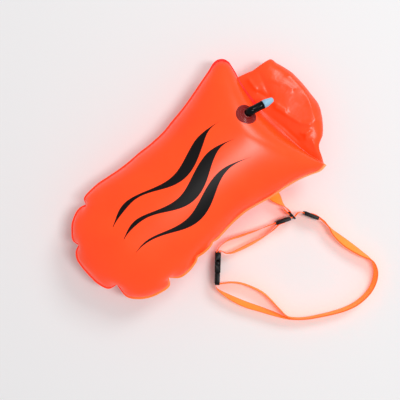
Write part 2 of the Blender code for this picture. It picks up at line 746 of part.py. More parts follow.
def join(target, mesh):
    """Fuses a second solid with the target."""
    other = bpy.data.objects.new(mesh.name, mesh)
    bpy.context.scene.collection.objects.link(other)
    other.hide_render = True
    other.display_type = "WIRE"
    other.parent = target
    change = target.modifiers.new(f"Join {mesh.name}", "BOOLEAN")
    change.operation = "UNION"
    change.solver = "EXACT"
    change.object = other


def buckle_prong(name, placed, finish, side):
    """A sprung prong with its catch. side is 1 for the prong at local +y."""
    root_x = BUCKLE_SPLIT_X - PRONG_ROOT_ROUND
    root_y = PRONG_ROOT_OFFSET
    catch_x = BUCKLE_SPLIT_X - BUCKLE_WINDOW_FROM_MOUTH - GAP
    arm = PRONG_ARM_WIDTH / 2
    tip_x = root_x - PRONG_LENGTH
    outline_points = []
    for step in range(PRONG_ROOT_STEPS + 1):
        angle = math.pi / 2 - math.pi * step / PRONG_ROOT_STEPS
        outline_points.append((root_x + PRONG_ROOT_ROUND * math.cos(angle),
                               root_y + PRONG_ROOT_ROUND * math.sin(angle)))
    barb = PRONG_CATCH_HALF_WIDTH
    outline_points += [(tip_x + arm * x, root_y + arm * y) for x, y in PRONG_TIP_SHARES]
    outline_points += [
        (catch_x - BUCKLE_WINDOW_LENGTH * PRONG_RAMP_SHARE, barb - arm * PRONG_BARB_SHARE),
        (catch_x, barb), (catch_x, root_y + arm),
    ]
    turned = [(x, side * y) for x, y in outline_points]
    made = add_object(name, prism(name, turned, -PRONG_THICKNESS / 2, PRONG_THICKNESS / 2,
                                  placed), finish)
    return pivot_at(made, placed @ Vector((root_x, side * root_y, 0.0)))


def side_release_buckle(prefix, centre, ahead, finish):
    placed = frame_matrix(centre, ahead)
    buckle_socket(f"{prefix}_socket", placed, finish)
    buckle_plug(f"{prefix}_plug", placed, finish)
    buckle_prong(f"{prefix}_prong_upper", placed, finish, 1)
    buckle_prong(f"{prefix}_prong_lower", placed, finish, -1)
    return placed


def bar_wrap(placed, end, side_from, side_to, steps=4):
    """A quarter turn and more of webbing round a buckle bar, as centre points. end is
    -1 for the socket's bar and 1 for the plug's, and the sides are along local z."""
    bar_x = end * (BUCKLE_LENGTH - BUCKLE_BAR) / 2
    route = []
    for step in range(steps + 1):
        angle = math.pi / 2 * (side_from + (side_to - side_from) * step / steps)
        route.append(placed @ Vector((bar_x - end * WRAP_RADIUS * math.cos(angle), 0.0,
                                      WRAP_RADIUS * math.sin(angle))))
    return route


def belt_adjuster(name, centre, ahead, side, finish):
    """A belt adjuster. The webbing runs straight through, past end bars on one side and
    past a stepped centre bar, which holds the sewn end, on the other."""
    placed = frame_matrix(centre, ahead)
    inner, outer = adjuster_faces()
    low, high = -inner, outer
    if side < 0:
        low, high = -high, -low
    half, tall = ADJUSTER_LENGTH / 2, ADJUSTER_HEIGHT / 2
    made = add_object(name, prism(name, rectangle(-half, half, -tall, tall), low, high,
                                  placed), finish)
    rounded(made, ADJUSTER_EDGE_ROUND, segments=1)
    slot = tall - ADJUSTER_RAIL
    run = WEBBING_THICKNESS / 2 + GAP
    bar = ADJUSTER_BAR / 2

    def side_range(a, b):
        return (a, b) if side > 0 else (-b, -a)

    for x0, x1 in ((bar, half + CUT_OVERRUN), (-half - CUT_OVERRUN, -bar)):
        cut(made, rectangle(x0, x1, -slot, slot), *side_range(-run, outer + CUT_OVERRUN), placed)
    cut(made, rectangle(-half + ADJUSTER_END_BAR, half - ADJUSTER_END_BAR, -slot, slot),
        *side_range(-inner - CUT_OVERRUN, outer - ADJUSTER_BAR), placed)
    return pivot_at(made, centre), placed


def adjuster_faces():
    """How far the adjuster stands out on its end bars' side and on its centre bar's."""
    run = WEBBING_THICKNESS / 2 + GAP
    inner = run + ADJUSTER_BAR
    outer = run + WEBBING_THICKNESS + GAP + ADJUSTER_BAR
    return inner, outer


def adjuster_wrap(placed, side, towards):
    """The sewn end round the stepped centre bar. towards is -1 where the webbing comes
    from local -x. It ends between the bar and the webbing that runs through."""
    _, outer = adjuster_faces()
    bar_z = outer - ADJUSTER_BAR / 2
    reach = ADJUSTER_BAR / 2 + GAP + WEBBING_THICKNESS / 2
    tip = reach + ADJUSTER_BAR / 2
    turn_x, turn_z = tip * WRAP_TURN_SHARES[0], reach * WRAP_TURN_SHARES[1]
    local = [(towards * STITCHED_OVERLAP, bar_z + reach), (0.0, bar_z + reach),
             (-towards * turn_x, bar_z + turn_z), (-towards * tip, bar_z),
             (-towards * turn_x, bar_z - turn_z), (0.0, bar_z - reach),
             (towards * STITCHED_OVERLAP, bar_z - reach)]
    return [placed @ Vector((x, 0.0, side * z)) for x, z in local]


def leash_ring(placed, finish):
    half, tall = RING_LENGTH / 2, RING_HEIGHT / 2
    made = add_object("leash_ring", prism("leash_ring", rectangle(-half, half, -tall, tall),
                                          -RING_BAR / 2, RING_BAR / 2, placed), finish)
    rounded(made, RING_EDGE_ROUND)
    through = RING_BAR / 2 + CUT_OVERRUN
    cut(made, rectangle(-half + RING_BAR, half - RING_BAR, -tall + RING_BAR, tall - RING_BAR),
        -through, through, placed)
    return pivot_at(made, placed @ Vector((-half + RING_BAR / 2, 0.0, 0.0)))


# The valve

def valve_frame(top_panel):
    """Where the valve stands on the top panel, with local z out of the panel."""
    mesh = top_panel.data
    tree = BVHTree.FromPolygons([v.co for v in mesh.vertices],
                                [tuple(p.vertices) for p in mesh.polygons])
    above = Vector((VALVE_X, VALVE_Y, SEAM_HEIGHT + TOP_RISE * 2))
    hits = []
    spread = VALVE_FLANGE_RADIUS * VALVE_PROBE_SHARE
    for dx, dy in ((0, 0), (spread, 0), (-spread, 0), (0, spread), (0, -spread)):
        hits.append(tree.ray_cast(above + Vector((dx, dy, 0.0)), -UP)[0])
    place = hits[0]
    outward = (hits[1] - hits[2]).cross(hits[3] - hits[4]).normalized()
    leg = Vector((math.cos(LEG_TURN), math.sin(LEG_TURN), 0.0))
    x = (leg - outward * leg.dot(outward)).normalized()
    y = outward.cross(x)
    turned = Matrix((x, y, outward)).transposed().to_4x4()
    return tree, Matrix.Translation(place) @ turned


def valve_flange(tree, placed, finish):
    """A soft moulded flange that follows the panel, with a rib and a collar."""
    hole = TUBE_RADIUS + GAP
    rib = VALVE_FLANGE_THICKNESS + VALVE_RIB_HEIGHT
    profile = [(hole, 0.0), (VALVE_COLLAR_RADIUS, 0.0), (VALVE_RIB_RADIUS, 0.0),
               (VALVE_FLANGE_RADIUS, 0.0),
               (VALVE_FLANGE_RADIUS, VALVE_FLANGE_THICKNESS * VALVE_LIP_SHARE),
               (VALVE_RIB_RADIUS + VALVE_RIB_HEIGHT, VALVE_FLANGE_THICKNESS),
               (VALVE_RIB_RADIUS, rib),
               (VALVE_RIB_RADIUS - VALVE_RIB_HEIGHT, VALVE_FLANGE_THICKNESS),
               (VALVE_COLLAR_RADIUS, VALVE_FLANGE_THICKNESS * VALVE_FOOT_SHARE),
               (VALVE_COLLAR_RADIUS - VALVE_FLANGE_THICKNESS, VALVE_COLLAR_HEIGHT),
               (hole, VALVE_COLLAR_HEIGHT)]
    down = -(placed.to_3x3() @ UP)
    rings = []
    for radius, height in profile:
        ring = []
        for i in range(VALVE_SEGMENTS):
            angle = 2 * math.pi * i / VALVE_SEGMENTS
            local = Vector((radius * math.cos(angle), radius * math.sin(angle), 0.0))
            start = placed @ local - down * TOP_RISE
            hit = tree.ray_cast(start, down)[0]
            ring.append(hit - down * (height + GAP * VALVE_SEAT_SHARE))
        rings.append(ring)
    rings.append(rings[0])
    points, faces = joined_rings(rings)
    return add_object("valve_flange", mesh_from("valve_flange", points, faces, merge=SEAM_MERGE),
                      finish)


def tube_path(placed):
    """The elbow's centre line: a stem out of the panel, a bend, then the leg."""
    out = (placed.to_3x3() @ UP).normalized()
    level = Vector((math.cos(LEG_TURN), math.sin(LEG_TURN), 0.0))
    leg = level * math.cos(LEG_RISE) + UP * math.sin(LEG_RISE)
    foot = placed.translation
    turn = out.angle(leg)
    bend_start = foot + out * TUBE_STEM
    inward = (leg - out * leg.dot(out)).normalized()
    centre = bend_start + inward * TUBE_BEND_RADIUS
    path = [(foot - out * TUBE_STEM_BELOW, out), (foot, out)]
    for step in range(TUBE_BEND_STEPS + 1):
        angle = turn * step / TUBE_BEND_STEPS
        radial = -inward * math.cos(angle) + out * math.sin(angle)
        along = out * math.cos(angle) + inward * math.sin(angle)
        path.append((centre + radial * TUBE_BEND_RADIUS, along))
    path.append((path[-1][0] + leg * TUBE_LEG, leg))
    return path, leg


def swept_tube(name, path, outer, inner, segments, finish):
    """A tube with a bore through it, along a path that bends in one plane."""
    first = path[0][1]
    last = path[-1][1]
    side = first.cross(last).normalized()

    def circle(place, along, radius):
        up = side.cross(along).normalized()
        ring = []
        for i in range(segments):
            angle = 2 * math.pi * i / segments
            ring.append(place + side * radius * math.cos(angle) + up * radius * math.sin(angle))
        return ring

    rings = [circle(p, a, outer) for p, a in path]
    rings += [circle(p, a, inner) for p, a in reversed(path)]
    rings.append(rings[0])
    points, faces = joined_rings(rings)
    return add_object(name, mesh_from(name, points, faces, merge=SEAM_MERGE), finish)


def turned_piece(name, profile, start, along, segments, finish):
    """A turned piece with a bore: profile gives (distance along, radius) round a loop."""
    side = along.cross(UP).normalized()
    up = side.cross(along).normalized()
    rings = []
    for distance, radius in [*profile, profile[0]]:
        ring = []
        for i in range(segments):
            angle = 2 * math.pi * i / segments
            ring.append(start + along * distance + side * radius * math.cos(angle)
                        + up * radius * math.sin(angle))
        rings.append(ring)
    points, faces = joined_rings(rings)
    return add_object(name, mesh_from(name, points, faces, merge=SEAM_MERGE), finish)


def valve(top_panel, finishes):
    tree, placed = valve_frame(top_panel)
    valve_flange(tree, placed, finishes["valve"])
    path, leg = tube_path(placed)
    swept_tube("valve_elbow", path, TUBE_RADIUS, TUBE_BORE_RADIUS, TUBE_SEGMENTS,
               finishes["tube"])
    end = path[-1][0] + leg * GAP
    groove = SPIGOT_LENGTH * SEAL_PLACE_SHARE
    floor = SPIGOT_RADIUS - SEAL_GROOVE_DEPTH
    profile = [(-SPIGOT_LENGTH, MOUTHPIECE_BORE_RADIUS), (-SPIGOT_LENGTH, SPIGOT_RADIUS),
               (-groove - SEAL_WIDTH / 2 - GAP, SPIGOT_RADIUS),
               (-groove - SEAL_WIDTH / 2 - GAP, floor),
               (-groove + SEAL_WIDTH / 2 + GAP, floor),
               (-groove + SEAL_WIDTH / 2 + GAP, SPIGOT_RADIUS), (0.0, SPIGOT_RADIUS),
               (0.0, MOUTHPIECE_BASE_RADIUS)]
    for shares, radius in ((MOUTHPIECE_BASE_SHARES, MOUTHPIECE_BASE_RADIUS),
                           (MOUTHPIECE_TIP_SHARES, MOUTHPIECE_TIP_RADIUS)):
        profile += [(MOUTHPIECE_LENGTH * along, radius * wide) for along, wide in shares]
    profile.append((MOUTHPIECE_LENGTH, MOUTHPIECE_BORE_RADIUS))
    mouthpiece = turned_piece("mouthpiece", profile, end, leg, TUBE_SEGMENTS,
                              finishes["mouthpiece"])
    pivot_at(mouthpiece, end)
    seal_outer = (SPIGOT_RADIUS + TUBE_BORE_RADIUS) / 2
    seal = turned_piece("valve_seal", [
        (-groove - SEAL_WIDTH / 2, floor + GAP / 2), (-groove - SEAL_WIDTH / 2, SPIGOT_RADIUS),
        (-groove, seal_outer), (-groove + SEAL_WIDTH / 2, SPIGOT_RADIUS),
        (-groove + SEAL_WIDTH / 2, floor + GAP / 2)], end, leg, TUBE_SEGMENTS, finishes["tube"])
    pivot_at(seal, end)
    valve_pin(path, leg, end, finishes["mouthpiece"])
    hole_radius = TUBE_RADIUS + GAP
    circle = [(hole_radius * math.cos(2 * math.pi * i / TUBE_SEGMENTS),
               hole_radius * math.sin(2 * math.pi * i / TUBE_SEGMENTS))
              for i in range(TUBE_SEGMENTS)]
    cut(top_panel, circle, -TUBE_STEM_BELOW * 2, TUBE_STEM_BELOW * 2, placed)


def valve_pin(path, leg, end, finish):
    """The fixed pin that shuts the mouthpiece's bore, on a spider inside the elbow."""
    spider = SPIGOT_LENGTH + PIN_HEAD_LENGTH
    profile = [(-spider, GAP), (-spider, TUBE_BORE_RADIUS - GAP / 3),
               (-spider + PIN_RADIUS, TUBE_BORE_RADIUS - GAP / 3),
               (-spider + PIN_RADIUS, PIN_RADIUS),
               (MOUTHPIECE_LENGTH * PIN_END_SHARE, PIN_RADIUS),
               (MOUTHPIECE_LENGTH * PIN_END_SHARE, GAP)]
    return turned_piece("valve_pin", profile, end, leg, TUBE_SEGMENTS, finish)


# The leash and the belt

def edge_at(x, side):
    """The bag's outer edge at this place along it, on the left (1) or right (-1)."""
    loop = [p for p in outline() if p.y * side > 0]
    for a, b in zip(loop, loop[1:]):
        if (a.x - x) * (b.x - x) <= 0 and a.x != b.x:
            return a.lerp(b, (x - a.x) / (b.x - a.x))
    raise ValueError("no edge at this place")


def belly_height(x, y):
    """The height of the belly's outer face, beside the straight part of the spine."""
    edge = edge_at(x, -1)
    reach = -edge.y - weld_width(edge, spine_point(edge))
    return SEAM_HEIGHT - WELD_FACE - PANEL_WALL - dome_point(edge, -y / reach, BELLY_DROP, 0.0)[2]


def belly_tilt(x, y, width):
    """How the belly slopes along the bag, in degrees, over this width."""
    rise = belly_height(x + width / 2, y) - belly_height(x - width / 2, y)
    return math.degrees(math.atan2(rise, width))


def leash_patch(finish):
    """A welded patch that follows the belly near its right edge, under the leash."""
    xs = [PATCH_X + PATCH_LENGTH * (c / PATCH_COLUMNS - 0.5) for c in range(PATCH_COLUMNS + 1)]
    rows = []
    for r in range(PATCH_ROWS + 1):
        y = PATCH_INNER_Y + (PATCH_OUTER_Y - PATCH_INNER_Y) * r / PATCH_ROWS
        near = [Vector((x, y, belly_height(x, y) - PATCH_SEAT)) for x in xs]
        far = [p - UP * PATCH_THICKNESS for p in reversed(near)]
        rows.append(near + far)
    return add_object("leash_patch", loft("leash_patch", rows), finish)


def leash(finish):
    """The leash: welded flat to its patch, then turned to stand at the ring's bar."""
    depth = PATCH_SEAT + PATCH_THICKNESS + LEASH_SEAT + WEBBING_THICKNESS / 2
    route = [Vector((PATCH_X, y, belly_height(PATCH_X, y) - depth)) for y in LEASH_WELD_YS]
    bar = Vector(RING_CENTRE) + Vector((0.0, (RING_LENGTH - RING_BAR) / 2, 0.0))
    reach = RING_BAR / 2 + GAP * 2 + WEBBING_THICKNESS / 2
    route += vectors(LEASH_ROUTE)
    lean = [FLAT_LEAN + belly_tilt(PATCH_X, y, WEBBING_WIDTH) for y in LEASH_WELD_YS]
    lean += LEASH_LEANS
    turn = reach * SQUARE_WRAP_SHARE
    wrap = [(reach, LEASH_SEWN / 2), (reach, 0.0), (turn, -turn), (0.0, -reach),
            (-turn, -turn), (-reach, 0.0), (-reach, LEASH_SEWN / 2), (-reach, LEASH_SEWN)]
    route += [bar + Vector((x, y, 0.0)) for x, y in wrap]
    lean += [0.0] * len(wrap)
    return ribbon("leash_strap", route, finish, lean)


def belt(finishes):
    black, webbing = finishes["hardware"], finishes["webbing"]
    ring_frame = frame_matrix(RING_CENTRE, (0.0, -1.0, 0.0))
    leash_ring(ring_frame, black)
    buckle = side_release_buckle("belt_buckle", BELT_BUCKLE_CENTRE,
                                 BELT_BUCKLE_AHEAD_SHARES, black)
    _, near = belt_adjuster("belt_adjuster_short", SHORT_ADJUSTER_CENTRE,
                            SHORT_ADJUSTER_AHEAD_SHARES, 1, black)
    _, far = belt_adjuster("belt_adjuster_long", LONG_ADJUSTER_CENTRE,
                           LONG_ADJUSTER_AHEAD_SHARES, -1, black)
    belt_strap_short(buckle, near, webbing)
    belt_tail_short(buckle, near, webbing)
    belt_strap_long(buckle, far, webbing)
    belt_tail_long(buckle, far, webbing)


def straight_through(placed, shares):
    return [placed @ Vector((share * ADJUSTER_LENGTH, 0.0, 0.0)) for share in shares]


def vectors(route):
    return [Vector(p) for p in route]


def belt_strap_short(buckle, near, finish):
    """From the socket's bar, through the short side's adjuster, into the ring."""
    route = bar_wrap(buckle, -1, BAR_MEETING_SHARE, 1.0)
    route += vectors(SHORT_STRAP_ROUTE)
    route += straight_through(near, SHORT_THROUGH_SHARES)
    return ribbon("belt_strap_short", route, finish)


def belt_tail_short(buckle, near, finish):
    """From the socket's bar back to the short side's adjuster, where it is sewn."""
    route = bar_wrap(buckle, -1, -BAR_MEETING_SHARE, -1.0)
    route += vectors(SHORT_TAIL_ROUTE)
    route += adjuster_wrap(near, 1, -1)
    return ribbon("belt_tail_short", route, finish)


def belt_strap_long(buckle, far, finish):
    """From the ring, through the long side's adjuster, round to the plug's bar."""
    route = vectors(RING_TO_LONG_ROUTE)
    route += straight_through(far, LONG_THROUGH_SHARES)
    route += offset_route(LONG_ROUTE, -(WEBBING_THICKNESS + GAP) / 2)[1:]
    route += vectors(LONG_STRAP_RETURN_ROUTE)
    route += reversed(bar_wrap(buckle, 1, -BAR_MEETING_SHARE, -1.0))
    return ribbon("belt_strap_long", route, finish)


def belt_tail_long(buckle, far, finish):
    """From the long side's adjuster, where it is sewn, beside the strap to the plug."""
    route = list(reversed(adjuster_wrap(far, -1, 1)))
    route += offset_route(LONG_ROUTE, (WEBBING_THICKNESS + GAP) / 2)[1:]
    route += vectors(LONG_TAIL_RETURN_ROUTE)
    route += reversed(bar_wrap(buckle, 1, BAR_MEETING_SHARE, 1.0))
    return ribbon("belt_tail_long", route, finish)


def offset_route(route, distance):
    """The route moved sideways in plan: positive distance is to the left of its travel."""
    middle = vectors(route)
    moved = []
    for i, at in enumerate(middle):
        travel = middle[min(i + 1, len(middle) - 1)] - middle[max(i - 1, 0)]
        left = UP.cross(travel).normalized()
        moved.append(at + left * distance)
    return moved


def roll_tab_start(side):
    """The tab's stretch that is sewn along the outside of the roll's end."""
    roll_half = ROLL_CORE_WIDTH / 2 + ROLL_SHEET + ROLL_TURNS_SHARE * ROLL_PITCH
    stand_off = roll_half + GAP + WEBBING_THICKNESS / 2
    route = []
    for share in ROLL_TAB_SHARES:
        x, y, angle = roll_bend(side * share)
        outward = Vector((math.cos(angle), math.sin(angle), 0.0))
        route.append(Vector((x, NECK_CENTRE_Y + y, ROLL_BUCKLE_HEIGHT)) + outward * stand_off)
    return route


def rolltop_closure(finishes):
    """The roll-top's buckle, on two tabs sewn to the roll's ends."""
    centre = (ROLL_BUCKLE_X, NECK_CENTRE_Y, ROLL_BUCKLE_HEIGHT)
    buckle = side_release_buckle("rolltop_buckle", centre, (0.0, -1.0, 0.0),
                                 finishes["hardware"])
    bar_y = (BUCKLE_LENGTH - BUCKLE_BAR) / 2 + ROLL_TAB_LEAD
    for name, side in (("rolltop_tab_left", 1), ("rolltop_tab_right", -1)):
        wrap = bar_wrap(buckle, -side, 1.0, -1.0, steps=8)
        lead = Vector((ROLL_BUCKLE_X - WRAP_RADIUS, NECK_CENTRE_Y + side * bar_y,
                       ROLL_BUCKLE_HEIGHT))
        tail = wrap[-1] + Vector((0.0, side * ROLL_TAB_RETURN, 0.0))
        ribbon(name, roll_tab_start(side) + [lead] + wrap + [tail], finishes["webbing"])


def build():
    for old in list(bpy.data.objects):
        bpy.data.objects.remove(old, do_unlink=True)
    finishes = {
        "panel": material("coated sheet", ORANGE, 0.45),
        "neck": material("thin film", NECK_ORANGE, 0.25),
        "liner": material("liner film", ORANGE, 0.4),
        "webbing": material("webbing", WEBBING_ORANGE, 0.8),
        "hardware": material("acetal", BLACK, 0.4),
        "valve": material("soft vinyl", VALVE_RED, 0.25),
        "tube": material("black vinyl", BLACK, 0.3),
        "mouthpiece": material("blue polythene", MOUTHPIECE_BLUE, 0.35),
        "stiffener": material("stiffener strip", GREY, 0.5),
    }
    top = panel("front_panel", finishes["panel"], 1, TOP_RISE)
    panel("back_panel", finishes["panel"], -1, BELLY_DROP)
    dry_liner(finishes["liner"])
    rolltop_neck(finishes["neck"])
    rolled_mouth(finishes["neck"])
    rolltop_stiffener(finishes["stiffener"])
    rolltop_closure(finishes)
    valve(top, finishes)
    leash_patch(finishes["panel"])
    leash(finishes["webbing"])
    belt(finishes)


build()
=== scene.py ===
"""Dresses the open water swim buoy: the welded bag, its roll-top neck, the oral valve,
the leash and the waist belt. Blender 4.5, metres, +Z up.

Run it as a script. Each piece has an operator, and the panel in the sidebar lists them.
"""

import json
import math

import bmesh
import bpy
import numpy as np
from mathutils import Matrix, Vector, noise
from mathutils.bvhtree import BVHTree


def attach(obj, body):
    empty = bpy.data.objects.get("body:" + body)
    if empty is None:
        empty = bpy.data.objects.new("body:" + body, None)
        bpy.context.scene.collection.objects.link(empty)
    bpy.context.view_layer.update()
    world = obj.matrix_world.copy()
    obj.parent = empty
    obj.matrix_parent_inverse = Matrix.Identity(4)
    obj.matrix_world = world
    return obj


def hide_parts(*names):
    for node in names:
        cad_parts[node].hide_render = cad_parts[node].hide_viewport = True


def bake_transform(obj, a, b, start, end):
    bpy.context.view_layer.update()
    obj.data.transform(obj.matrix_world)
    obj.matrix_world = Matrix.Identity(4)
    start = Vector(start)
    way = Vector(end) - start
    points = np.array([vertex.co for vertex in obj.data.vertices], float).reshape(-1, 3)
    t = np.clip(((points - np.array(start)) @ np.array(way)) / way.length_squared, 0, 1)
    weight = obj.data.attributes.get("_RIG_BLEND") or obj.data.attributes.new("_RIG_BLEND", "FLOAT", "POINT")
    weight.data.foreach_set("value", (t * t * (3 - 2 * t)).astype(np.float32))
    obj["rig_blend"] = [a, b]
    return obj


bl_info = {
    "name": "Swim buoy",
    "version": (1, 0, 0),
    "blender": (4, 5, 0),
    "location": "View3D > Sidebar > Swim buoy",
    "description": "Dresses the solids of an open water swim buoy",
    "category": "Add Mesh",
}

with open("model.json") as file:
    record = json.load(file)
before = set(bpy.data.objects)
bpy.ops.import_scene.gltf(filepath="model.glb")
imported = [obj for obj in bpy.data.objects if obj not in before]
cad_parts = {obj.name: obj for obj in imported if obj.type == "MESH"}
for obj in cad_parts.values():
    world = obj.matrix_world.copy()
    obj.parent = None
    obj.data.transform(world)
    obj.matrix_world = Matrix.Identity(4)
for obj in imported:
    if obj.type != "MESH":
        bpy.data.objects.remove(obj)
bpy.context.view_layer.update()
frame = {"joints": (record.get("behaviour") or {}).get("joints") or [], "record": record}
BODY_OF = {node: body for body, nodes in frame["record"]["behaviour"]["bodies"].items()
           for node in nodes}
TWIST = next(joint for joint in frame["joints"] if joint["name"] == "mouthpiece_twist")

UP = Vector((0.0, 0.0, 1.0))
MERGE = 0.000001
GAP = 0.0003

# Bag: two welded panels
BAG_HALF_LENGTH = 0.235
BAG_HALF_WIDTH = 0.143
SEAM_HEIGHT = 0.065
TOP_RISE = 0.0655
BELLY_DROP = 0.0705
PANEL_WALL = 0.0008
SIDE_WELD_WIDTH = 0.006
HEAD_WELD_WIDTH = 0.011
FRONT_WELD_SHARE = 0.58
TAIL_TAPER = 0.110
HEAD_TAPER = 0.075
SPINE_TAIL_X = TAIL_TAPER - BAG_HALF_LENGTH
SPINE_HEAD_X = BAG_HALF_LENGTH - HEAD_TAPER
SIDE_PROFILE_SHARE = 0.52
HEAD_PROFILE_SHARE = 0.60
HEAD_CORNER_SHARE = 0.17
TAIL_PROFILE_SHARE = 0.56
TAIL_RISE_SHARE = 0.93
HEAD_RISE_SHARE = 0.97
LINER_THICKNESS = 0.0012
LINER_INSET = 0.0015
WELD_FACE = LINER_THICKNESS / 2 + GAP

# The outline, as shares of the half length and the half width. The runs meet at the
# creases that the welded seam makes in the round tail.
HEAD_RUN_SHARES = (
    (1.035, 0.87), (1.018, 0.72), (0.990, 0.53), (0.974, 0.25), (0.971, 0.0),
    (0.978, -0.25), (0.990, -0.50), (1.008, -0.72), (1.035, -0.90), (1.054, -1.04),
)
OUTLINE_SHARES = (
    ((-0.990, 0.00), (-0.988, 0.15), (-0.975, 0.29), (-0.935, 0.38), (-0.885, 0.415)),
    ((-0.885, 0.415), (-0.893, 0.52), (-0.850, 0.62), (-0.800, 0.70), (-0.720, 0.765),
     (-0.660, 0.775), (-0.615, 0.752)),
    ((-0.615, 0.752), (-0.595, 0.83), (-0.540, 0.853), (-0.430, 0.855), (-0.330, 0.83),
     (-0.230, 0.805)),
    ((-0.230, 0.805), (-0.130, 0.79), (0.0, 0.785), (0.10, 0.77), (0.25, 0.772),
     (0.36, 0.80), (0.50, 0.832), (0.62, 0.873), (0.75, 0.925), (0.86, 0.968),
     (0.93, 1.0), (0.979, 0.995), (1.019, 0.945), (1.035, 0.87)),
    HEAD_RUN_SHARES,
    ((1.054, -1.04), (0.985, -1.045), (0.90, -0.99), (0.80, -0.935), (0.68, -0.893),
     (0.55, -0.862), (0.42, -0.812), (0.30, -0.772), (0.15, -0.77), (0.0, -0.79),
     (-0.055, -0.775)),
    ((-0.055, -0.775), (-0.090, -0.80), (-0.160, -0.806), (-0.232, -0.79)),
    ((-0.232, -0.79), (-0.270, -0.825), (-0.360, -0.850), (-0.450, -0.830),
     (-0.520, -0.725)),
    ((-0.520, -0.725), (-0.560, -0.818), (-0.650, -0.805), (-0.740, -0.755),
     (-0.820, -0.665), (-0.880, -0.530), (-0.872, -0.325)),
    ((-0.872, -0.325), (-0.945, -0.290), (-0.982, -0.15), (-0.990, 0.00)),
)
OUTLINE_STEP = 0.003
DOME_RINGS = 44
CREASE_POWER = 6
CALM_REACH = 16
ROUND_REACH = 70
ROUND_FALL = 1.8
LINER_SHARES = (0.1, 0.5, 0.8, 0.93, 1.0)
LINER_WAVE_POWER = 8

# The weld's wave and the puckers along it, with how far each reaches from the weld
EDGE_WAVE = 0.0011
EDGE_WAVES_PER_METRE = 22
EDGE_WAVE_REACH = 0.010
RIPPLES_PER_METRE = 75
RIPPLE_REACH = 0.012
PUCKERS_PER_METRE = 28
PUCKER_REACH = 0.030
PUCKER_START = 0.002

# The sheet's tints, the weld's deeper colour with painted shade between the ear and the neck,
# and the rim's painted highlight: how far each reaches in from the weld, and the places in plan
# where one starts and where it is full
WELD_TINT_REACH = 0.0030
WELD_TINT_SHARE = 0.30
EAR_SHADE_X = (0.19, 0.22)
EAR_SHADE_Y = (0.005, 0.035)
RIM_TINT_REACH = 0.0008
RIM_TINT_Y = (-0.06, -0.10)
HEAD_RIM_X = (0.222, 0.228)
HEAD_RIM_Y = (-0.147, -0.141)

# Roll-top neck
NECK_CENTRE_Y = -0.010
NECK_WIDTH = 0.204
NECK_ROWS = 84
NECK_COLUMNS = 110
NECK_FLAT_THICKNESS = 0.0016
NECK_SEAM_LAP = 0.0030
NECK_REACH = 0.0905
NECK_SPREAD = 0.034
NECK_PUFF = 0.022
ROLL_STATION_X = 0.292
ROLL_RADIUS = 0.035
ROLL_HALF_STRAIGHT = 0.025
FLOOR_CLEARANCE = 0.0005
# Each row: share along, reach share, height share from the roll's top up to the seam,
# puff share, and how far the row has drawn in from a straight line to the bent roll
NECK_PATH_SHARES = (
    (0.00, 0.00, 1.000, 0.00, 0.00),
    (0.12, 0.14, 1.038, 0.30, 0.00),
    (0.30, 0.42, 1.115, 0.80, 0.07),
    (0.48, 0.70, 1.076, 1.00, 0.13),
    (0.64, 0.93, 0.809, 0.95, 0.22),
    (0.78, 1.00, 0.465, 0.70, 0.36),
    (0.90, 0.93, 0.216, 0.35, 0.66),
    (1.00, 0.84, 0.044, 0.06, 1.00),
)
# Share across, from the right side to the left, and share of the reach there
NECK_REACH_SHARES = (
    (-1.00, 0.64), (-0.69, 0.83), (-0.41, 1.00), (0.07, 1.06), (0.78, 1.05), (1.00, 1.18),
)
NECK_DRAW = 0.009
# Share along, and how much wider the right side still is there
NECK_SPREAD_SHARES = ((0.00, 1.00), (0.12, 0.70), (0.30, 0.10), (0.45, 0.00), (1.00, 0.00))
NECK_CROWN_POWER = 0.6
SOFTEN_SHARE = 0.035
NECK_DRAW_RATE = 4
NECK_SEAM_WAVE_RATE = 6
# How fast the folds come in from the head seam, from the roll and from the sides
NECK_FADE_RATES = (9, 6, 8)
# The film's crumples: how many to the metre, and how high
NECK_CRUMPLES = ((26, 0.0009), (90, 0.0002))
UNDER_CRUMPLE_SHARE = 0.7
FOLD_ROUNDING = 0.0012

# Rolled mouth
ROLL_TURNS = 2.5
ROLL_STEPS_PER_TURN = 40
ROLL_STATIONS = 64
ROLL_SHEET = 0.0012
ROLL_PITCH = 0.0019
ROLL_CORE_HEIGHT = 0.0186
ROLL_CORE_WIDTH = 0.0022
ROLL_SQUARENESS_POWER = 0.75
ROLL_SLACK = 0.0005
ROLL_SLACKS_PER_METRE = 60
ROLL_HALF_HEIGHT = ROLL_TURNS * ROLL_PITCH + ROLL_CORE_HEIGHT / 2 + ROLL_SHEET

# Webbing
WEBBING_WIDTH = 0.025
WEBBING_THICKNESS = 0.0010
WEBBING_STEP = 0.0025
# The painted shade on the tape's edges starts and is full this far in from the edge
EDGE_SHADE_WIDTHS = (0.0022, 0.0004)
# Half of the tape's section, as shares of half its width and half its thickness
TAPE_HALF_SECTION = (
    (-1.0, 0.0), (-0.985, -0.75), (-0.95, -1.0), (-0.6, -1.0), (-0.2, -1.0), (0.2, -1.0),
    (0.6, -1.0), (0.95, -1.0), (0.985, -0.75),
)
TAPE_SECTION = (*TAPE_HALF_SECTION, *((-wide, -thick) for wide, thick in TAPE_HALF_SECTION))
STITCHED_OVERLAP = 0.010
SQUARE_WRAP_SHARE = 0.86
BAR_MEETING_SHARE = 0.08
WRAP_TURN_SHARES = (0.75, 0.82)
WRAP_RADIUS = 0.0034
WRAP_STEPS = 8
BUCKLE_LENGTH = 0.064
BUCKLE_BAR = 0.0031
ROLL_BUCKLE_X = ROLL_STATION_X - 0.070
ROLL_BUCKLE_HEIGHT = 0.0168
ROLL_TAB_SHARES = (0.80, 0.90, 1.0)
ROLL_TAB_LEAD = 0.010
ROLL_TAB_RETURN = 0.006
ADJUSTER_LENGTH = 0.030
ADJUSTER_BAR = 0.0020
RING_LENGTH = 0.0180
RING_BAR = 0.0034
RING_CENTRE = Vector((0.1362, -0.1785, 0.0175))
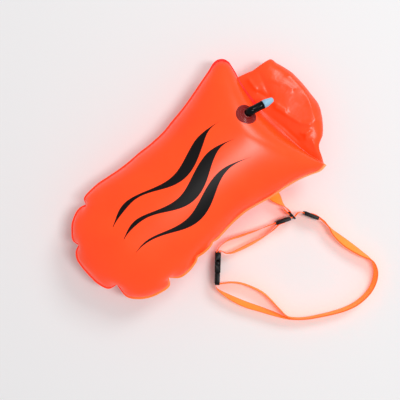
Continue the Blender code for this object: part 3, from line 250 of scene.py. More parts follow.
SHORT_ADJUSTER_CENTRE = Vector((0.1165, -0.1745, 0.0170))
SHORT_ADJUSTER_AHEAD = Vector((0.920, -0.392, 0.0))
LONG_ADJUSTER_CENTRE = Vector((0.1640, -0.2050, 0.0170))
LONG_ADJUSTER_AHEAD = Vector((0.433, -0.901, 0.0))
BELT_BUCKLE_CENTRE = Vector((-0.0424, -0.1572, 0.0168))
BELT_BUCKLE_AHEAD = Vector((-0.695, -0.718, 0.0))

# The webbing's routes, along the middle of each strand, each point with its lean in
# degrees: 0 stands on its edge, and 90 lies flat
LEASH_ROUTE = ((0.1370, -0.1190, 0.0225, 84), (0.1378, -0.1360, 0.0190, 50),
               (0.1382, -0.1510, 0.0172, 14))
SHORT_STRAP_ROUTE = (
    (-0.0197, -0.1314, 0.0168, 0), (-0.0110, -0.1286, 0.0164, -2), (0.0010, -0.1288, 0.0156, -5),
    (0.0150, -0.1322, 0.0148, -9), (0.0320, -0.1398, 0.0140, -12), (0.0500, -0.1477, 0.0142, -10),
    (0.0700, -0.1562, 0.0154, -5),
)
SHORT_TAIL_ROUTE = (
    (-0.0158, -0.1352, 0.0168, 0), (-0.0124, -0.1390, 0.0166, -2),
    (-0.0102, -0.1462, 0.0160, -6), (-0.0015, -0.1535, 0.0150, -11),
    (0.0140, -0.1592, 0.0140, -15), (0.0310, -0.1642, 0.0136, -16), (0.0490, -0.1690, 0.0138, -13),
    (0.0700, -0.1736, 0.0146, -7), (0.0900, -0.1758, 0.0158, -2),
)
RING_TO_LONG_ROUTE = (
    (0.1358, -0.1826, 0.0170, 0), (0.1408, -0.1842, 0.0170, 0), (0.1470, -0.1832, 0.0170, 0),
    (0.1530, -0.1850, 0.0170, 0),
)
LONG_ROUTE = (
    (0.1737, -0.2266, 0.0160, 0), (0.1755, -0.2330, 0.0154, 1), (0.1757, -0.2450, 0.0146, 6),
    (0.1745, -0.2590, 0.0138, 19), (0.1765, -0.2780, 0.0132, 31), (0.1805, -0.3000, 0.0130, 34),
    (0.1878, -0.3290, 0.0132, 22), (0.1940, -0.3525, 0.0132, 4), (0.1872, -0.3708, 0.0132, -5),
    (0.1740, -0.3838, 0.0132, -7), (0.1548, -0.3928, 0.0132, -7), (0.1328, -0.3960, 0.0132, -7),
    (0.1084, -0.3938, 0.0132, -7), (0.0866, -0.3866, 0.0132, -6), (0.0645, -0.3760, 0.0132, -4),
    (0.0434, -0.3640, 0.0132, -2), (0.0242, -0.3522, 0.0132, 0), (0.0080, -0.3392, 0.0132, 0),
)
LONG_STRAP_RETURN_ROUTE = (
    (-0.0042, -0.3230, 0.0134, 0), (-0.0062, -0.3030, 0.0136, -2),
    (-0.0066, -0.2770, 0.0140, -4), (-0.0088, -0.2550, 0.0144, -5),
    (-0.0165, -0.2330, 0.0150, -4), (-0.0275, -0.2120, 0.0156, -3),
    (-0.0415, -0.1960, 0.0163, -1), (-0.0545, -0.1866, 0.0167, 0),
)
LONG_TAIL_RETURN_ROUTE = (
    (-0.0078, -0.3228, 0.0134, -3), (-0.0200, -0.3010, 0.0134, -13),
    (-0.0350, -0.2740, 0.0136, -19), (-0.0503, -0.2470, 0.0140, -23),
    (-0.0625, -0.2180, 0.0152, -17), (-0.0690, -0.1960, 0.0164, -5),
    (-0.0702, -0.1850, 0.0167, 0),
)
# The straight run through each adjuster, as shares of its length from its middle
SHORT_THROUGH_SHARES = (-1.033, -0.8, -0.4, 0.0, 0.4, 0.667)
LONG_THROUGH_SHARES = (-0.6, -0.333, 0.0, 0.4, 0.667, 0.8)
# What a strand blends into along its length: the body, and where that starts and is full
SHORT_TAIL_BLEND = ("short_adjuster", (0.0434, -0.1735, 0.0), (0.1000, -0.1760, 0.0))
PLUG_BLEND = ("belt_plug", (0.0200, -0.2500, 0.0), (-0.0500, -0.2300, 0.0))

# Leash patch and the leash's welded end
PATCH_X = 0.137
PATCH_LENGTH = 0.044
PATCH_INNER_Y = -0.068
PATCH_OUTER_Y = -0.104
PATCH_CORNER = 0.006
PATCH_STEPS = 24
PATCH_SEAT = 0.0006
PATCH_THICKNESS = 0.0012
LEASH_SEAT = 0.0009
LEASH_WELD_YS = (-0.0720, -0.0800, -0.0880, -0.0960)
LEASH_SEWN = 0.013

# Oral valve
TUBE_RADIUS = 0.0078
TUBE_BORE_RADIUS = 0.0042
TUBE_BEND_RADIUS = 0.0105
TUBE_STEM = 0.0085
TUBE_STEM_BELOW = 0.0070
TUBE_LEG = 0.0205
VALVE_FLANGE_RADIUS = 0.0200
MOUTHPIECE_LENGTH = 0.0215
MOUTHPIECE_BASE_RADIUS = 0.0077
MOUTHPIECE_TIP_RADIUS = 0.0046
MOUTHPIECE_BORE_RADIUS = 0.0024
SPIGOT_RADIUS = 0.0039
SPIGOT_LENGTH = 0.0090
VALVE_X = 0.1939
VALVE_Y = 0.0255
VALVE_PROBE_SHARE = 0.7
VALVE_FLANGE_THICKNESS = 0.0010
VALVE_COLLAR_RADIUS = 0.0105
VALVE_COLLAR_HEIGHT = 0.0045
VALVE_RIB_RADIUS = 0.0150
VALVE_RIB_HEIGHT = 0.0011
VALVE_RIB_PITCH = 0.0032
VALVE_RIB_STEPS = 36
# The ribs stop this far inside the flange's rim and this far outside its collar
VALVE_RIM_INSET = 0.0004
VALVE_COLLAR_FOOT = 0.0008
VALVE_RIM_SHARE = 0.6
VALVE_WALL_FOOT_SHARE = 1.2
# The collar's rounding: flange thicknesses in from its outside, and share of its height
VALVE_COLLAR_SHARES = ((0.4, 0.5), (1.0, 0.95), (1.5, 1.0))
TUBE_BEND_STEPS = 16
TUBE_LEG_SHARES = (0.3, 0.6, 0.9, 0.93, 0.98, 1.0)
TUBE_LIP = 0.0004
TUBE_BEND_SWELL = 0.0010
MOUTHPIECE_ARRIS = 0.0006
# The mouthpiece's outside, as shares of its length and of its base's or its tip's radius
MOUTHPIECE_BASE = ((0.22, 1.0), (0.34, 0.975), (0.46, 0.92))
MOUTHPIECE_TIP = ((0.60, 1.40), (0.75, 1.22), (0.87, 1.10), (0.95, 0.98), (1.0, 0.74))
# The angles round a turned piece
ROUND_STEPS = 48
ROUND = [2 * math.pi * i / ROUND_STEPS for i in range(ROUND_STEPS)]

# The print: each wave has its place across, its swing, its phase and its greatest width
PRINT_TAIL_X = -0.130
PRINT_HEAD_X = 0.146
PRINT_WAVES = 1.35
PRINT_STEPS = 120
PRINT_COLUMNS = 6
PRINT_LIFT = 0.00006
PRINT_THICKNESS = 0.00008
PRINT_THIN_SHARE = 0.22
PRINT_TIP_SHARE = 0.05
PRINT_TAPER_RATE = 5
PRINT_SWELL_LEAD = 0.6
PROBE_HEIGHT = 0.3
PRINT_LINES = ((0.038, 0.014, 0.0, 0.022), (0.000, 0.015, 0.5, 0.028),
               (-0.038, 0.014, 1.0, 0.022))

# The stage. Each lamp has its name, place, the place that it faces, its sides and its power
CAMERA_X = 0.023
CAMERA_Y = -0.034
WORLD_STRENGTH = 0.50
LAMPS = (("key", (3.20, 0.40, 3.20), (0.0, -0.05, 0.0), (1.5, 1.5), 60.0),
         ("softbox", (1.00, -1.15, 4.20), (0.1, -0.05, 0.0), (0.6, 1.4), 62.0))


# Colour and nodes

def linear(channel):
    """An sRGB channel from 0 to 1 as a linear one."""
    return channel / 12.92 if channel <= 0.04045 else ((channel + 0.055) / 1.055)**2.4


def wave_scale(pitch):
    """The Wave Texture's scale that sets its bands this far apart. Its own factor is 20."""
    return 2 * math.pi / 20 / pitch


def colour(hex_value):
    """An sRGB hex value as a linear colour with alpha."""
    return (*(linear(int(hex_value[i:i + 2], 16) / 255) for i in (0, 2, 4)), 1.0)


def add_node(tree, kind, inputs=None, settings=None):
    """Adds a node, sets its settings, and sets or links its inputs. An input that is given
    as a node takes that node's first output."""
    node = tree.nodes.new(kind)
    for name, value in (settings or {}).items():
        setattr(node, name, value)
    for name, value in (inputs or {}).items():
        if isinstance(value, bpy.types.Node):
            value = value.outputs[0]
        if isinstance(value, bpy.types.NodeSocket):
            tree.links.new(value, node.inputs[name])
        else:
            node.inputs[name].default_value = value
    return node


def new_material(name):
    """A material with its tree emptied but for the output."""
    made = bpy.data.materials.new(name)
    made.use_nodes = True
    tree = made.node_tree
    tree.nodes.remove(tree.nodes["Principled BSDF"])
    return made, tree


def end_material(tree, body, through=None, share=0.0):
    """Links the body to the output, mixed with the colour of the light that comes through
    the piece where there is one."""
    if through:
        thin = add_node(tree, "ShaderNodeBsdfTranslucent", {"Color": through})
        body = add_node(tree, "ShaderNodeMixShader", {"Fac": share, 1: body, 2: thin})
    tree.links.new(body.outputs[0], tree.nodes["Material Output"].inputs["Surface"])


def clouded(tree, where, first, second, size, detail):
    """A colour that wanders between two in clouds of this size, and the clouds."""
    cloud = add_node(tree, "ShaderNodeTexNoise",
                     {"Vector": where, "Scale": 1 / size, "Detail": detail})
    tint = add_node(tree, "ShaderNodeMixRGB", {
        "Fac": cloud, "Color1": colour(first), "Color2": colour(second)})
    return tint, cloud


# Shapes

def catmull(points, step):
    """A smooth open curve through the points, with a place about every step."""
    held = [2 * points[0] - points[1], *points, 2 * points[-1] - points[-2]]
    curve = [points[0].copy()]
    for i in range(1, len(held) - 2):
        a, b, c, d = held[i - 1:i + 3]
        steps = max(1, round(Vector((c - b)[:3]).length / step))
        for s in range(1, steps + 1):
            t = s / steps
            curve.append(0.5 * (2 * b + (c - a) * t + (2 * a - 5 * b + 4 * c - d) * t**2
                                + (3 * b - a - 3 * c + d) * t**3))
    return curve


def clamp(value, low, high):
    return max(low, min(high, value))


def ramp(value, start, full):
    """0 up to start, 1 from full on, and straight between them."""
    return clamp((value - start) / (full - start), 0.0, 1.0)


def share_between(table, at, column):
    """A column's value at a place between the rows of a table, sorted by their first."""
    for low, high in zip(table, table[1:]):
        if at <= high[0]:
            t = (at - low[0]) / (high[0] - low[0])
            return low[column] + (high[column] - low[column]) * t
    return table[-1][column]


def soft_share(table, at, column):
    """The same, with the table's corners rounded off and its ends kept."""
    near, far = table[0][0], table[-1][0]
    spread = min(SOFTEN_SHARE, (at - near) / 2, (far - at) / 2)
    return sum(share_between(table, at + spread * k, column) for k in (-2, -1, 0, 1, 2)) / 5


def ring_mesh(name, rings, capped=True):
    """Closed rings of points joined into a solid: its ends are capped, or else its last
    ring meets its first."""
    count = len(rings[0])
    points = [tuple(p) for ring in rings for p in ring]
    faces = []
    for r in range(len(rings) - 1 if capped else len(rings)):
        low, high = r * count, (r + 1) % len(rings) * count
        faces += [(low + i, low + (i + 1) % count, high + (i + 1) % count, high + i)
                  for i in range(count)]
    if capped:
        faces += [tuple(reversed(range(count))), tuple(range(len(points) - count, len(points)))]
    mesh = bpy.data.meshes.new(name)
    mesh.from_pydata(points, [], faces)
    bm = bmesh.new()
    bm.from_mesh(mesh)
    wide = [face for face in bm.faces if len(face.verts) > 4]
    bmesh.ops.triangulate(bm, faces=wide, ngon_method="BEAUTY")
    bmesh.ops.recalc_face_normals(bm, faces=bm.faces)
    if bm.calc_volume(signed=True) < 0:
        bmesh.ops.reverse_faces(bm, faces=bm.faces)
    bm.to_mesh(mesh)
    bm.free()
    return mesh


def add_attribute(mesh, name, values):
    """A value for each point of the mesh, which a material can read."""
    made = mesh.attributes.new(name, "FLOAT", "POINT")
    made.data.foreach_set("value", values)


def add_object(name, data):
    made = bpy.data.objects.new(name, data)
    bpy.context.scene.collection.objects.link(made)
    return made


def place(mesh, finish, node, body=None, sharp=60):
    """Puts a piece in the scene under its mesh's name, in the stead of the node that it
    stands for. It rides the node's body or the one given, and with "blend" it is left for
    the caller to blend. Edges sharper than that many degrees stay sharp."""
    mesh.materials.clear()
    mesh.materials.append(finish)
    mesh.shade_smooth()
    mesh.set_sharp_from_angle(angle=math.radians(sharp))
    made = add_object(mesh.name, mesh)
    if body != "blend":
        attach(made, body or BODY_OF[node])
    if node:
        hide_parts(node)
    return made


def surface_of(name):
    """The mesh of a node or a made piece, to probe."""
    if name not in bpy.data.objects:
        raise RuntimeError(f"{name} isn't there: the bag is made first")
    mesh = bpy.data.objects[name].data
    return BVHTree.FromPolygons([v.co for v in mesh.vertices],
                                [tuple(p.vertices) for p in mesh.polygons])


# The bag

def edge_wave(at):
    """How far the weld waves up or down at this place in plan."""
    return EDGE_WAVE * noise.noise(Vector((at[0], at[1], 0.0)) * EDGE_WAVES_PER_METRE)


def outline():
    """The bag's outer edge as a closed loop in plan, from the tail over the left side."""
    loop = []
    for run in OUTLINE_SHARES:
        points = [Vector((x * BAG_HALF_LENGTH, y * BAG_HALF_WIDTH, 0.0)) for x, y in run]
        loop += catmull(points, OUTLINE_STEP)[:-1]
    return loop


def calmed(loop):
    """The loop with its creases smoothed away."""
    spread = range(-CALM_REACH, CALM_REACH + 1)
    weights = [math.exp(-(2 * k / CALM_REACH)**2) for k in spread]
    total = sum(weights)
    calm = []
    for i in range(len(loop)):
        near = [loop[(i + k) % len(loop)] * w for k, w in zip(spread, weights)]
        calm.append(sum(near, Vector((0.0, 0.0, 0.0))) / total)
    return calm


def spine_point(edge):
    return Vector((clamp(edge.x, SPINE_TAIL_X, SPINE_HEAD_X), 0.0, 0.0))


def weld_width(ray):
    return SIDE_WELD_WIDTH + (HEAD_WELD_WIDTH - SIDE_WELD_WIDTH) * clamp(ray.x, 0.0, 1.0)**2


def weld_tint_with_ear_shade(edge):
    """How red the weld looks: a little everywhere, for the doubled sheet's own deeper colour, and
    most between the ear and the neck, where painted shade stands for the red that the two throw on each
    other."""
    ear = ramp(edge.y, *EAR_SHADE_Y) * ramp(edge.x, *EAR_SHADE_X)
    return WELD_TINT_SHARE + (1 - WELD_TINT_SHARE) * ear


def rim_light(edge):
    """How pale the weld's rim looks: a painted highlight, on the right side only."""
    head = ramp(edge.x, *HEAD_RIM_X) * ramp(edge.y, *HEAD_RIM_Y)
    return ramp(edge.y, *RIM_TINT_Y) * (1 - head)


def profile_share(ray):
    """How the dome rounds over towards this part of the edge."""
    end = HEAD_PROFILE_SHARE if ray.x > 0 else TAIL_PROFILE_SHARE
    corner = HEAD_CORNER_SHARE * (2 * max(0.0, ray.x) * ray.y)**2
    return SIDE_PROFILE_SHARE + (end - SIDE_PROFILE_SHARE) * ray.x**2 + corner


def rise_share(x):
    if x < 0:
        return 1 - (1 - TAIL_RISE_SHARE) * (x / SPINE_TAIL_X)**2
    return 1 - (1 - HEAD_RISE_SHARE) * (x / SPINE_HEAD_X)**2


class PanelSheet:
    """One inflated panel's sheet, with its puckers and its weld."""

    def __init__(self, settings, side, rise):
        self.side, self.rise = side, rise
        self.edges = outline()
        self.calm = calmed(self.edges)
        self.ripples = [noise.noise(Vector((*edge[:2], side)) * RIPPLES_PER_METRE)
                        * settings.ripple for edge in self.edges]
        self.puckers = [noise.noise(Vector((*edge[:2], side * 3)) * PUCKERS_PER_METRE)
                        * settings.pucker for edge in self.edges]

    def point(self, i, out, inset):
        """A place on the dome: out is 0 on the spine and 1 at the weld. Gives the place
        and its two tints: the weld's, with painted shade at the ear, and the rim's painted highlight."""
        own_edge = self.edges[i]
        edge = self.calm[i].lerp(own_edge, out**CREASE_POWER)
        spine = spine_point(edge)
        ray = edge - spine
        length = ray.length
        ray.normalize()
        width = weld_width(ray) * (FRONT_WELD_SHARE if self.side > 0 else 1.0)
        reach = length - width - inset
        height = (self.rise - inset) * rise_share(spine.x)
        height *= max(0.0, 1 - out**2)**profile_share(ray)
        from_weld = (1 - out) * reach
        started = 1 - math.exp(-from_weld / PUCKER_START)
        height += started * self.ripples[i] * math.exp(-(from_weld / RIPPLE_REACH)**2)
        height += started * self.puckers[i] * math.exp(-(from_weld / PUCKER_REACH)**2)
        z = SEAM_HEIGHT + self.side * (WELD_FACE + PANEL_WALL - inset + height)
        z += edge_wave(own_edge) * math.exp(-from_weld / EDGE_WAVE_REACH)
        at = spine + ray * reach * out
        tints = (math.exp(-from_weld / WELD_TINT_REACH) * weld_tint_with_ear_shade(own_edge),
                 math.exp(-from_weld / RIM_TINT_REACH) * rim_light(own_edge))
        return Vector((at.x, at.y, max(z, inset))), tints

    def ring(self, out, inset):
        """One ring of the dome, with its corners rounded the more the further in it lies."""
        made = [self.point(i, out, inset) for i in range(len(self.edges))]
        reach = round(ROUND_REACH * (1 - out**3))
        if reach < 2:
            return made
        places = np.array([p for p, _ in made])
        weights = [math.exp(-(ROUND_FALL * k / reach)**2) for k in range(-reach, reach + 1)]
        rounder = sum(np.roll(places, k - reach, axis=0) * w for k, w in enumerate(weights))
        return [(Vector(p), w) for p, (_, w) in zip(rounder / sum(weights), made)]

    def weld_ring(self, foot_ring, height, share):
        """A ring on the flat weld, at this share of the way from the dome's foot out."""
        ring = []
        for (foot, _), edge in zip(foot_ring, self.edges):
            at = foot.lerp(edge, share)
            z = SEAM_HEIGHT + self.side * height + edge_wave(edge)
            ring.append((Vector((at.x, at.y, z)), (weld_tint_with_ear_shade(edge), rim_light(edge))))
        return ring

    def mesh(self, name):
        outs = [math.sin(math.pi / 2 * k / DOME_RINGS) for k in range(1, DOME_RINGS + 1)]
        rings = [self.ring(out, 0.0) for out in outs]
        foot = rings[-1]
        rings += [self.weld_ring(foot, WELD_FACE + wall, share)
                  for wall, share in ((PANEL_WALL, 0.5), (PANEL_WALL, 1.0), (0.0, 1.0))]
        rings += [self.ring(out, PANEL_WALL) for out in reversed(outs)]
        mesh = ring_mesh(name, [[p for p, _ in ring] for ring in rings])
        # The tints as point attributes: weld also carries the painted shade at the ear, and rim is a painted
        # highlight
        for number, tinted in enumerate(("weld", "rim")):
            add_attribute(mesh, tinted, [tints[number] for ring in rings for _, tints in ring])
        return mesh


def coated_sheet(settings):
    """PVC-coated polyester, calendered satin. The coat is a little cloudy and deeper in
    colour where the weld doubles it, with painted shade between the ear and the neck and a painted
    highlight on the right side's weld rim, and its scrim shows as a faint grid in the gloss."""
    made, tree = new_material("PVC-coated polyester sheet")
    where = add_node(tree, "ShaderNodeTexCoord").outputs["Object"]
    base, cloud = clouded(tree, where, settings.sheet_colour, settings.sheet_light,
                          size=0.060, detail=3.0)
    # The weld's tint is the doubled sheet's colour with painted shade at the ear; the rim's tint is a
    # painted highlight
    for tinted, tint in (("weld", settings.weld_and_ear_shade_colour), ("rim", settings.rim_colour)):
        share = add_node(tree, "ShaderNodeAttribute", None, {"attribute_name": tinted})
        base = add_node(tree, "ShaderNodeMixRGB", {
            "Fac": share.outputs["Fac"], "Color1": base, "Color2": colour(tint)})
    # The scrim has about 9 threads to the centimetre. It is drawn at 2.4 mm to show.
    bands = [add_node(tree, "ShaderNodeTexWave",
                      {"Vector": where, "Scale": wave_scale(0.0024), "Distortion": 0.4},
                      {"bands_direction": way}).outputs["Fac"] for way in ("X", "Y")]
    scrim = add_node(tree, "ShaderNodeMath", {0: bands[0], 1: bands[1]}, {"operation": "ADD"})
    bump = add_node(tree, "ShaderNodeBump",
                    {"Strength": 0.10, "Distance": 0.0003, "Height": scrim})
    gloss = add_node(tree, "ShaderNodeMapRange", {"Value": cloud, "To Min": 0.27, "To Max": 0.33})
    # Painted glow: an emission, which glows under any light and lights the floor near the bag red, stands in
    # for the fluorescent pigment that gives back more red than falls on it
    body = add_node(tree, "ShaderNodeBsdfPrincipled", {
        "Base Color": base, "Roughness": gloss, "IOR": 1.5, "Normal": bump,
        "Emission Color": colour(settings.glow_colour), "Emission Strength": settings.glow})
    end_material(tree, body, colour(settings.sheet_light), share=0.12)
    return made


def liner_film():
    """Thin blown film, matt and milky orange, a little cloudy."""
    made, tree = new_material("thin blown film")
    where = add_node(tree, "ShaderNodeTexCoord").outputs["Object"]
    tint, _ = clouded(tree, where, "FF6030", "FF7744", size=0.020, detail=2.0)
    end_material(tree, add_node(tree, "ShaderNodeBsdfPrincipled",
                                {"Base Color": tint, "Roughness": 0.4}))
    return made


def liner_mesh():
    """The dry pouch's two walls, flat between the panels."""
    edges = outline()
    rings = []
    for face, order in ((-1, LINER_SHARES), (1, reversed(LINER_SHARES))):
        for share in order:
            ring = []
            for edge in edges:
                spine = spine_point(edge)
                rim = edge - (edge - spine).normalized() * LINER_INSET
                at = spine.lerp(rim, share)
                wave = edge_wave(edge) * share**LINER_WAVE_POWER
                z = SEAM_HEIGHT + face * LINER_THICKNESS / 2 + wave
                ring.append(Vector((at.x, at.y, z)))
            rings.append(ring)
    return ring_mesh("dry_liner_film", rings)


class BuoyBagSettings(bpy.types.PropertyGroup):
    """The bag's panels."""

    sheet_colour: bpy.props.StringProperty(
        name="Sheet", description="Colour of the coated sheet, as sRGB hex", default="FF4F12")
    sheet_light: bpy.props.StringProperty(
        name="Sheet, pale", description="Its paler clouds, as sRGB hex", default="FF5C18")
    # Also the colour of the painted shade between the ear and the neck
    weld_and_ear_shade_colour: bpy.props.StringProperty(
        name="Weld", description="Colour of the doubled sheet at the weld, as sRGB hex",
        default="FF1C0C")
    # A painted highlight on the weld's rim, on the right side only
    rim_colour: bpy.props.StringProperty(
        name="Rim", description="Colour of the weld's lit rim, as sRGB hex", default="FF9834")
    # Painted glow: the emission that stands in for the pigment's fluorescence
    glow_colour: bpy.props.StringProperty(
        name="Painted fluorescent glow", description="Colour that the pigment adds, as sRGB hex",
        default="FF1800")
    glow: bpy.props.FloatProperty(
        name="Fluorescence, strength", description="How much it adds", default=0.24)
    ripple: bpy.props.FloatProperty(
        name="Ripple", description="Height of the fine puckers at the seam", default=0.0016,
        unit="LENGTH")
    pucker: bpy.props.FloatProperty(
        name="Pucker", description="Height of the long puckers at the seam", default=0.0030,
        unit="LENGTH")


class BUOY_OT_bag(bpy.types.Operator):
    """Makes the bag's two panels and the dry pouch between them"""

    bl_idname = "buoy.bag"
    bl_label = "Bag"

    def execute(self, context):
        settings = context.scene.buoy_bag
        sheet = coated_sheet(settings)
        for node, side, rise in (("front_panel", 1, TOP_RISE), ("back_panel", -1, BELLY_DROP)):
            mesh = PanelSheet(settings, side, rise).mesh(f"{node}_sheet")
            place(mesh, sheet, node)
        place(liner_mesh(), liner_film(), "dry_liner")
        return {"FINISHED"}


# The roll-top

def head_edge():
    """The head seam's outer edge as (y, x), from the right corner to the left."""
    points = [Vector((x * BAG_HALF_LENGTH, y * BAG_HALF_WIDTH, 0.0)) for x, y in HEAD_RUN_SHARES]
    return sorted((p.y, p.x) for p in catmull(points, OUTLINE_STEP))


HEAD_EDGE = head_edge()


def head_edge_x(y):
    return share_between(HEAD_EDGE, clamp(y, HEAD_EDGE[0][0], HEAD_EDGE[-1][0]), 1)


def roll_bend(along):
    """Plan place and outward angle on the bent roll. along runs from -1 to 1."""
    travelled = abs(along) * NECK_WIDTH / 2
    side = 1 if along >= 0 else -1
    if travelled <= ROLL_HALF_STRAIGHT:
        return ROLL_STATION_X, side * travelled, 0.0
    angle = (travelled - ROLL_HALF_STRAIGHT) / ROLL_RADIUS
    x = ROLL_STATION_X - ROLL_RADIUS * (1 - math.cos(angle))
    y = ROLL_HALF_STRAIGHT + ROLL_RADIUS * math.sin(angle)
    return x, side * y, side * angle


def neck_middle(down, across):
    """The middle of the neck's flat tube."""
    reach = soft_share(NECK_PATH_SHARES, down, 1) * NECK_REACH
    reach *= soft_share(NECK_REACH_SHARES, across, 1)
    roll_top = ROLL_HALF_HEIGHT * 2 + FLOOR_CLEARANCE
    height = soft_share(NECK_PATH_SHARES, down, 2) * (SEAM_HEIGHT - roll_top) + roll_top
    drawn = soft_share(NECK_PATH_SHARES, down, 4)
    spread = soft_share(NECK_SPREAD_SHARES, down, 1) * NECK_SPREAD * min(0.0, across)**2
    tuck = NECK_DRAW * max(0.0, across)**2 * min(1.0, down * NECK_DRAW_RATE)
    side = NECK_CENTRE_Y + across * NECK_WIDTH / 2 - spread - tuck
    straight_x = head_edge_x(side) - NECK_SEAM_LAP + reach
    bent_x, bent_y, _ = roll_bend(across)
    x = straight_x + (bent_x - straight_x) * drawn
    y = side + (NECK_CENTRE_Y + bent_y - side) * drawn
    height += edge_wave((head_edge_x(side), side)) * max(0.0, 1 - down * NECK_SEAM_WAVE_RATE)
    return Vector((x, y, height))


# The neck's folds: a line in plan, how far the film stands up there (less than zero is a
# valley), and how wide the fold is to either side
NECK_FOLDS = (
    (((0.3029, 0.0260), (0.3035, 0.0112), (0.3039, -0.0104), (0.2995, -0.0323),
      (0.2909, -0.0530), (0.2850, -0.0680)), 0.0040, 0.0058),
    (((0.2770, 0.0453), (0.2889, 0.0215), (0.2925, 0.0026)), 0.0022, 0.0040),
    (((0.2506, -0.0006), (0.2572, -0.0274), (0.2639, -0.0542), (0.2740, -0.0680)),
     0.0028, 0.0038),
    (((0.2486, 0.0739), (0.2457, 0.0480)), 0.0026, 0.0040),
    (((0.2527, 0.0130), (0.2595, -0.0165)), 0.0026, 0.0035),
    (((0.2582, -0.0775), (0.2538, -0.0710)), 0.0022, 0.0030),
    (((0.2582, -0.0775), (0.2663, -0.0772)), 0.0020, 0.0030),
    (((0.2582, -0.0775), (0.2530, -0.0832)), 0.0020, 0.0030),
    (((0.2693, 0.0653), (0.2587, 0.0309), (0.2552, 0.0186)), -0.0020, 0.0050),
    (((0.2589, -0.0938), (0.2508, -0.1253)), 0.0020, 0.0040),
    (((0.2445, 0.0438), (0.2509, 0.0224)), -0.0026, 0.0045),
    (((0.2300, 0.0000), (0.2360, -0.0420), (0.2390, -0.0760)), -0.0020, 0.0035),
)


def line_gap(x, y, line):
    """The distance in plan from a place to a line."""
    best = 1.0
    for (ax, ay), (bx, by) in zip(line, line[1:]):
        dx, dy = bx - ax, by - ay
        t = clamp(((x - ax) * dx + (y - ay) * dy) / (dx * dx + dy * dy), 0.0, 1.0)
        best = min(best, math.hypot(x - ax - dx * t, y - ay - dy * t))
    return best


def fold_height(at, depth):
    """How far the film stands up at this place, from the folds that run by it."""
    total = 0.0
    for line, height, width in NECK_FOLDS:
        gap = math.hypot(line_gap(at.x, at.y, line), FOLD_ROUNDING) - FOLD_ROUNDING
        total += height * depth * math.exp(-gap / width)
    return total


def neck_mesh(settings):
    rows, columns = NECK_ROWS + 1, NECK_COLUMNS + 1
    middle = [[neck_middle(r / NECK_ROWS, 2 * c / NECK_COLUMNS - 1) for c in range(columns)]
              for r in range(rows)]
    from_seam, from_roll, from_side = NECK_FADE_RATES
    rings = []
    for r in range(rows):
        down = r / NECK_ROWS
        puff = soft_share(NECK_PATH_SHARES, down, 3) * NECK_PUFF
        eased = min(1.0, down * from_seam, (1 - down) * from_roll)
        top, under = [], []
        for c in range(columns):
            across = 2 * c / NECK_COLUMNS - 1
            here = middle[r][c]
            travel = middle[min(r + 1, rows - 1)][c] - middle[max(r - 1, 0)][c]
            sideways = middle[r][min(c + 1, columns - 1)] - middle[r][max(c - 1, 0)]
            normal = travel.cross(sideways).normalized()
            crown = max(0.0, 1 - across**4)**NECK_CROWN_POWER
            rim = min(1.0, (1 - abs(across)) * from_side)
            crumple = sum(noise.noise(here * often) * high for often, high in NECK_CRUMPLES)
            crumple *= eased * rim
            face = fold_height(here, settings.fold_depth) * eased * rim
            thick = (NECK_FLAT_THICKNESS + puff * crown) / 2
            thin = max(NECK_FLAT_THICKNESS / 2, thick - crumple * UNDER_CRUMPLE_SHARE)
            top.append(here + normal * (thick + crumple + face))
            under.append(here - normal * thin)
        rings.append(top + list(reversed(under)))
    return ring_mesh("rolltop_neck_film", rings)


def roll_section():
    """The spiral of the rolled mouth, as (outward, up) about the roll's own middle."""
    steps = round(ROLL_STEPS_PER_TURN * ROLL_TURNS)
    core = (ROLL_CORE_WIDTH + ROLL_SHEET) / 2
    tall = (ROLL_CORE_HEIGHT + ROLL_SHEET) / 2

    def spiral(offset):
        line = []
        for s in range(steps + 1):
            angle = 2 * math.pi * s / ROLL_STEPS_PER_TURN - math.pi / 2
            grown = ROLL_PITCH * s / ROLL_STEPS_PER_TURN + offset
            c, n = math.cos(angle), math.sin(angle)
            x = math.copysign(abs(c)**ROLL_SQUARENESS_POWER, c) * (core + grown)
            z = math.copysign(abs(n)**ROLL_SQUARENESS_POWER, n) * (tall + grown)
            line.append((x, z))
        return line

    return spiral(ROLL_SHEET / 2) + list(reversed(spiral(-ROLL_SHEET / 2)))


def rolled_mouth_mesh():
    section = roll_section()
    rings = []
    for s in range(ROLL_STATIONS + 1):
        share = 2 * s / ROLL_STATIONS - 1
        x, y, angle = roll_bend(share)
        outward = Vector((math.cos(angle), math.sin(angle), 0.0))
        middle = Vector((x, NECK_CENTRE_Y + y, ROLL_HALF_HEIGHT + FLOOR_CLEARANCE))
        ring = []
        for out, up in section:
            at = middle + outward * out + UP * up
            slack = noise.noise(at * ROLL_SLACKS_PER_METRE) * ROLL_SLACK
            ring.append(at + outward * slack)
        rings.append(ring)
    return ring_mesh("rolled_mouth_film", rings)


def pouch_film(settings):
    """Thin coated film, glazed and limp, which takes sharp highlights on its folds and
    glows where light comes through it, with a painted red glow over all of it."""
    made, tree = new_material("TPU-coated film")
    where = add_node(tree, "ShaderNodeTexCoord").outputs["Object"]
    tint, _ = clouded(tree, where, settings.film_colour, settings.film_light,
                      size=0.045, detail=3.0)
    fine = add_node(tree, "ShaderNodeTexNoise",
                    {"Vector": where, "Scale": 1 / 0.006, "Detail": 2.0})
    bump = add_node(tree, "ShaderNodeBump", {"Strength": 0.45, "Distance": 0.0006, "Height": fine})
    # Painted glow: the emission stands in for the fluorescent pigment and glows under any light
    body = add_node(tree, "ShaderNodeBsdfPrincipled", {
        "Base Color": tint, "Roughness": 0.29, "IOR": 1.5, "Normal": bump,
        "Emission Color": colour(settings.glow_colour), "Emission Strength": settings.glow})
    end_material(tree, body, colour(settings.film_colour), share=0.22)
    return made


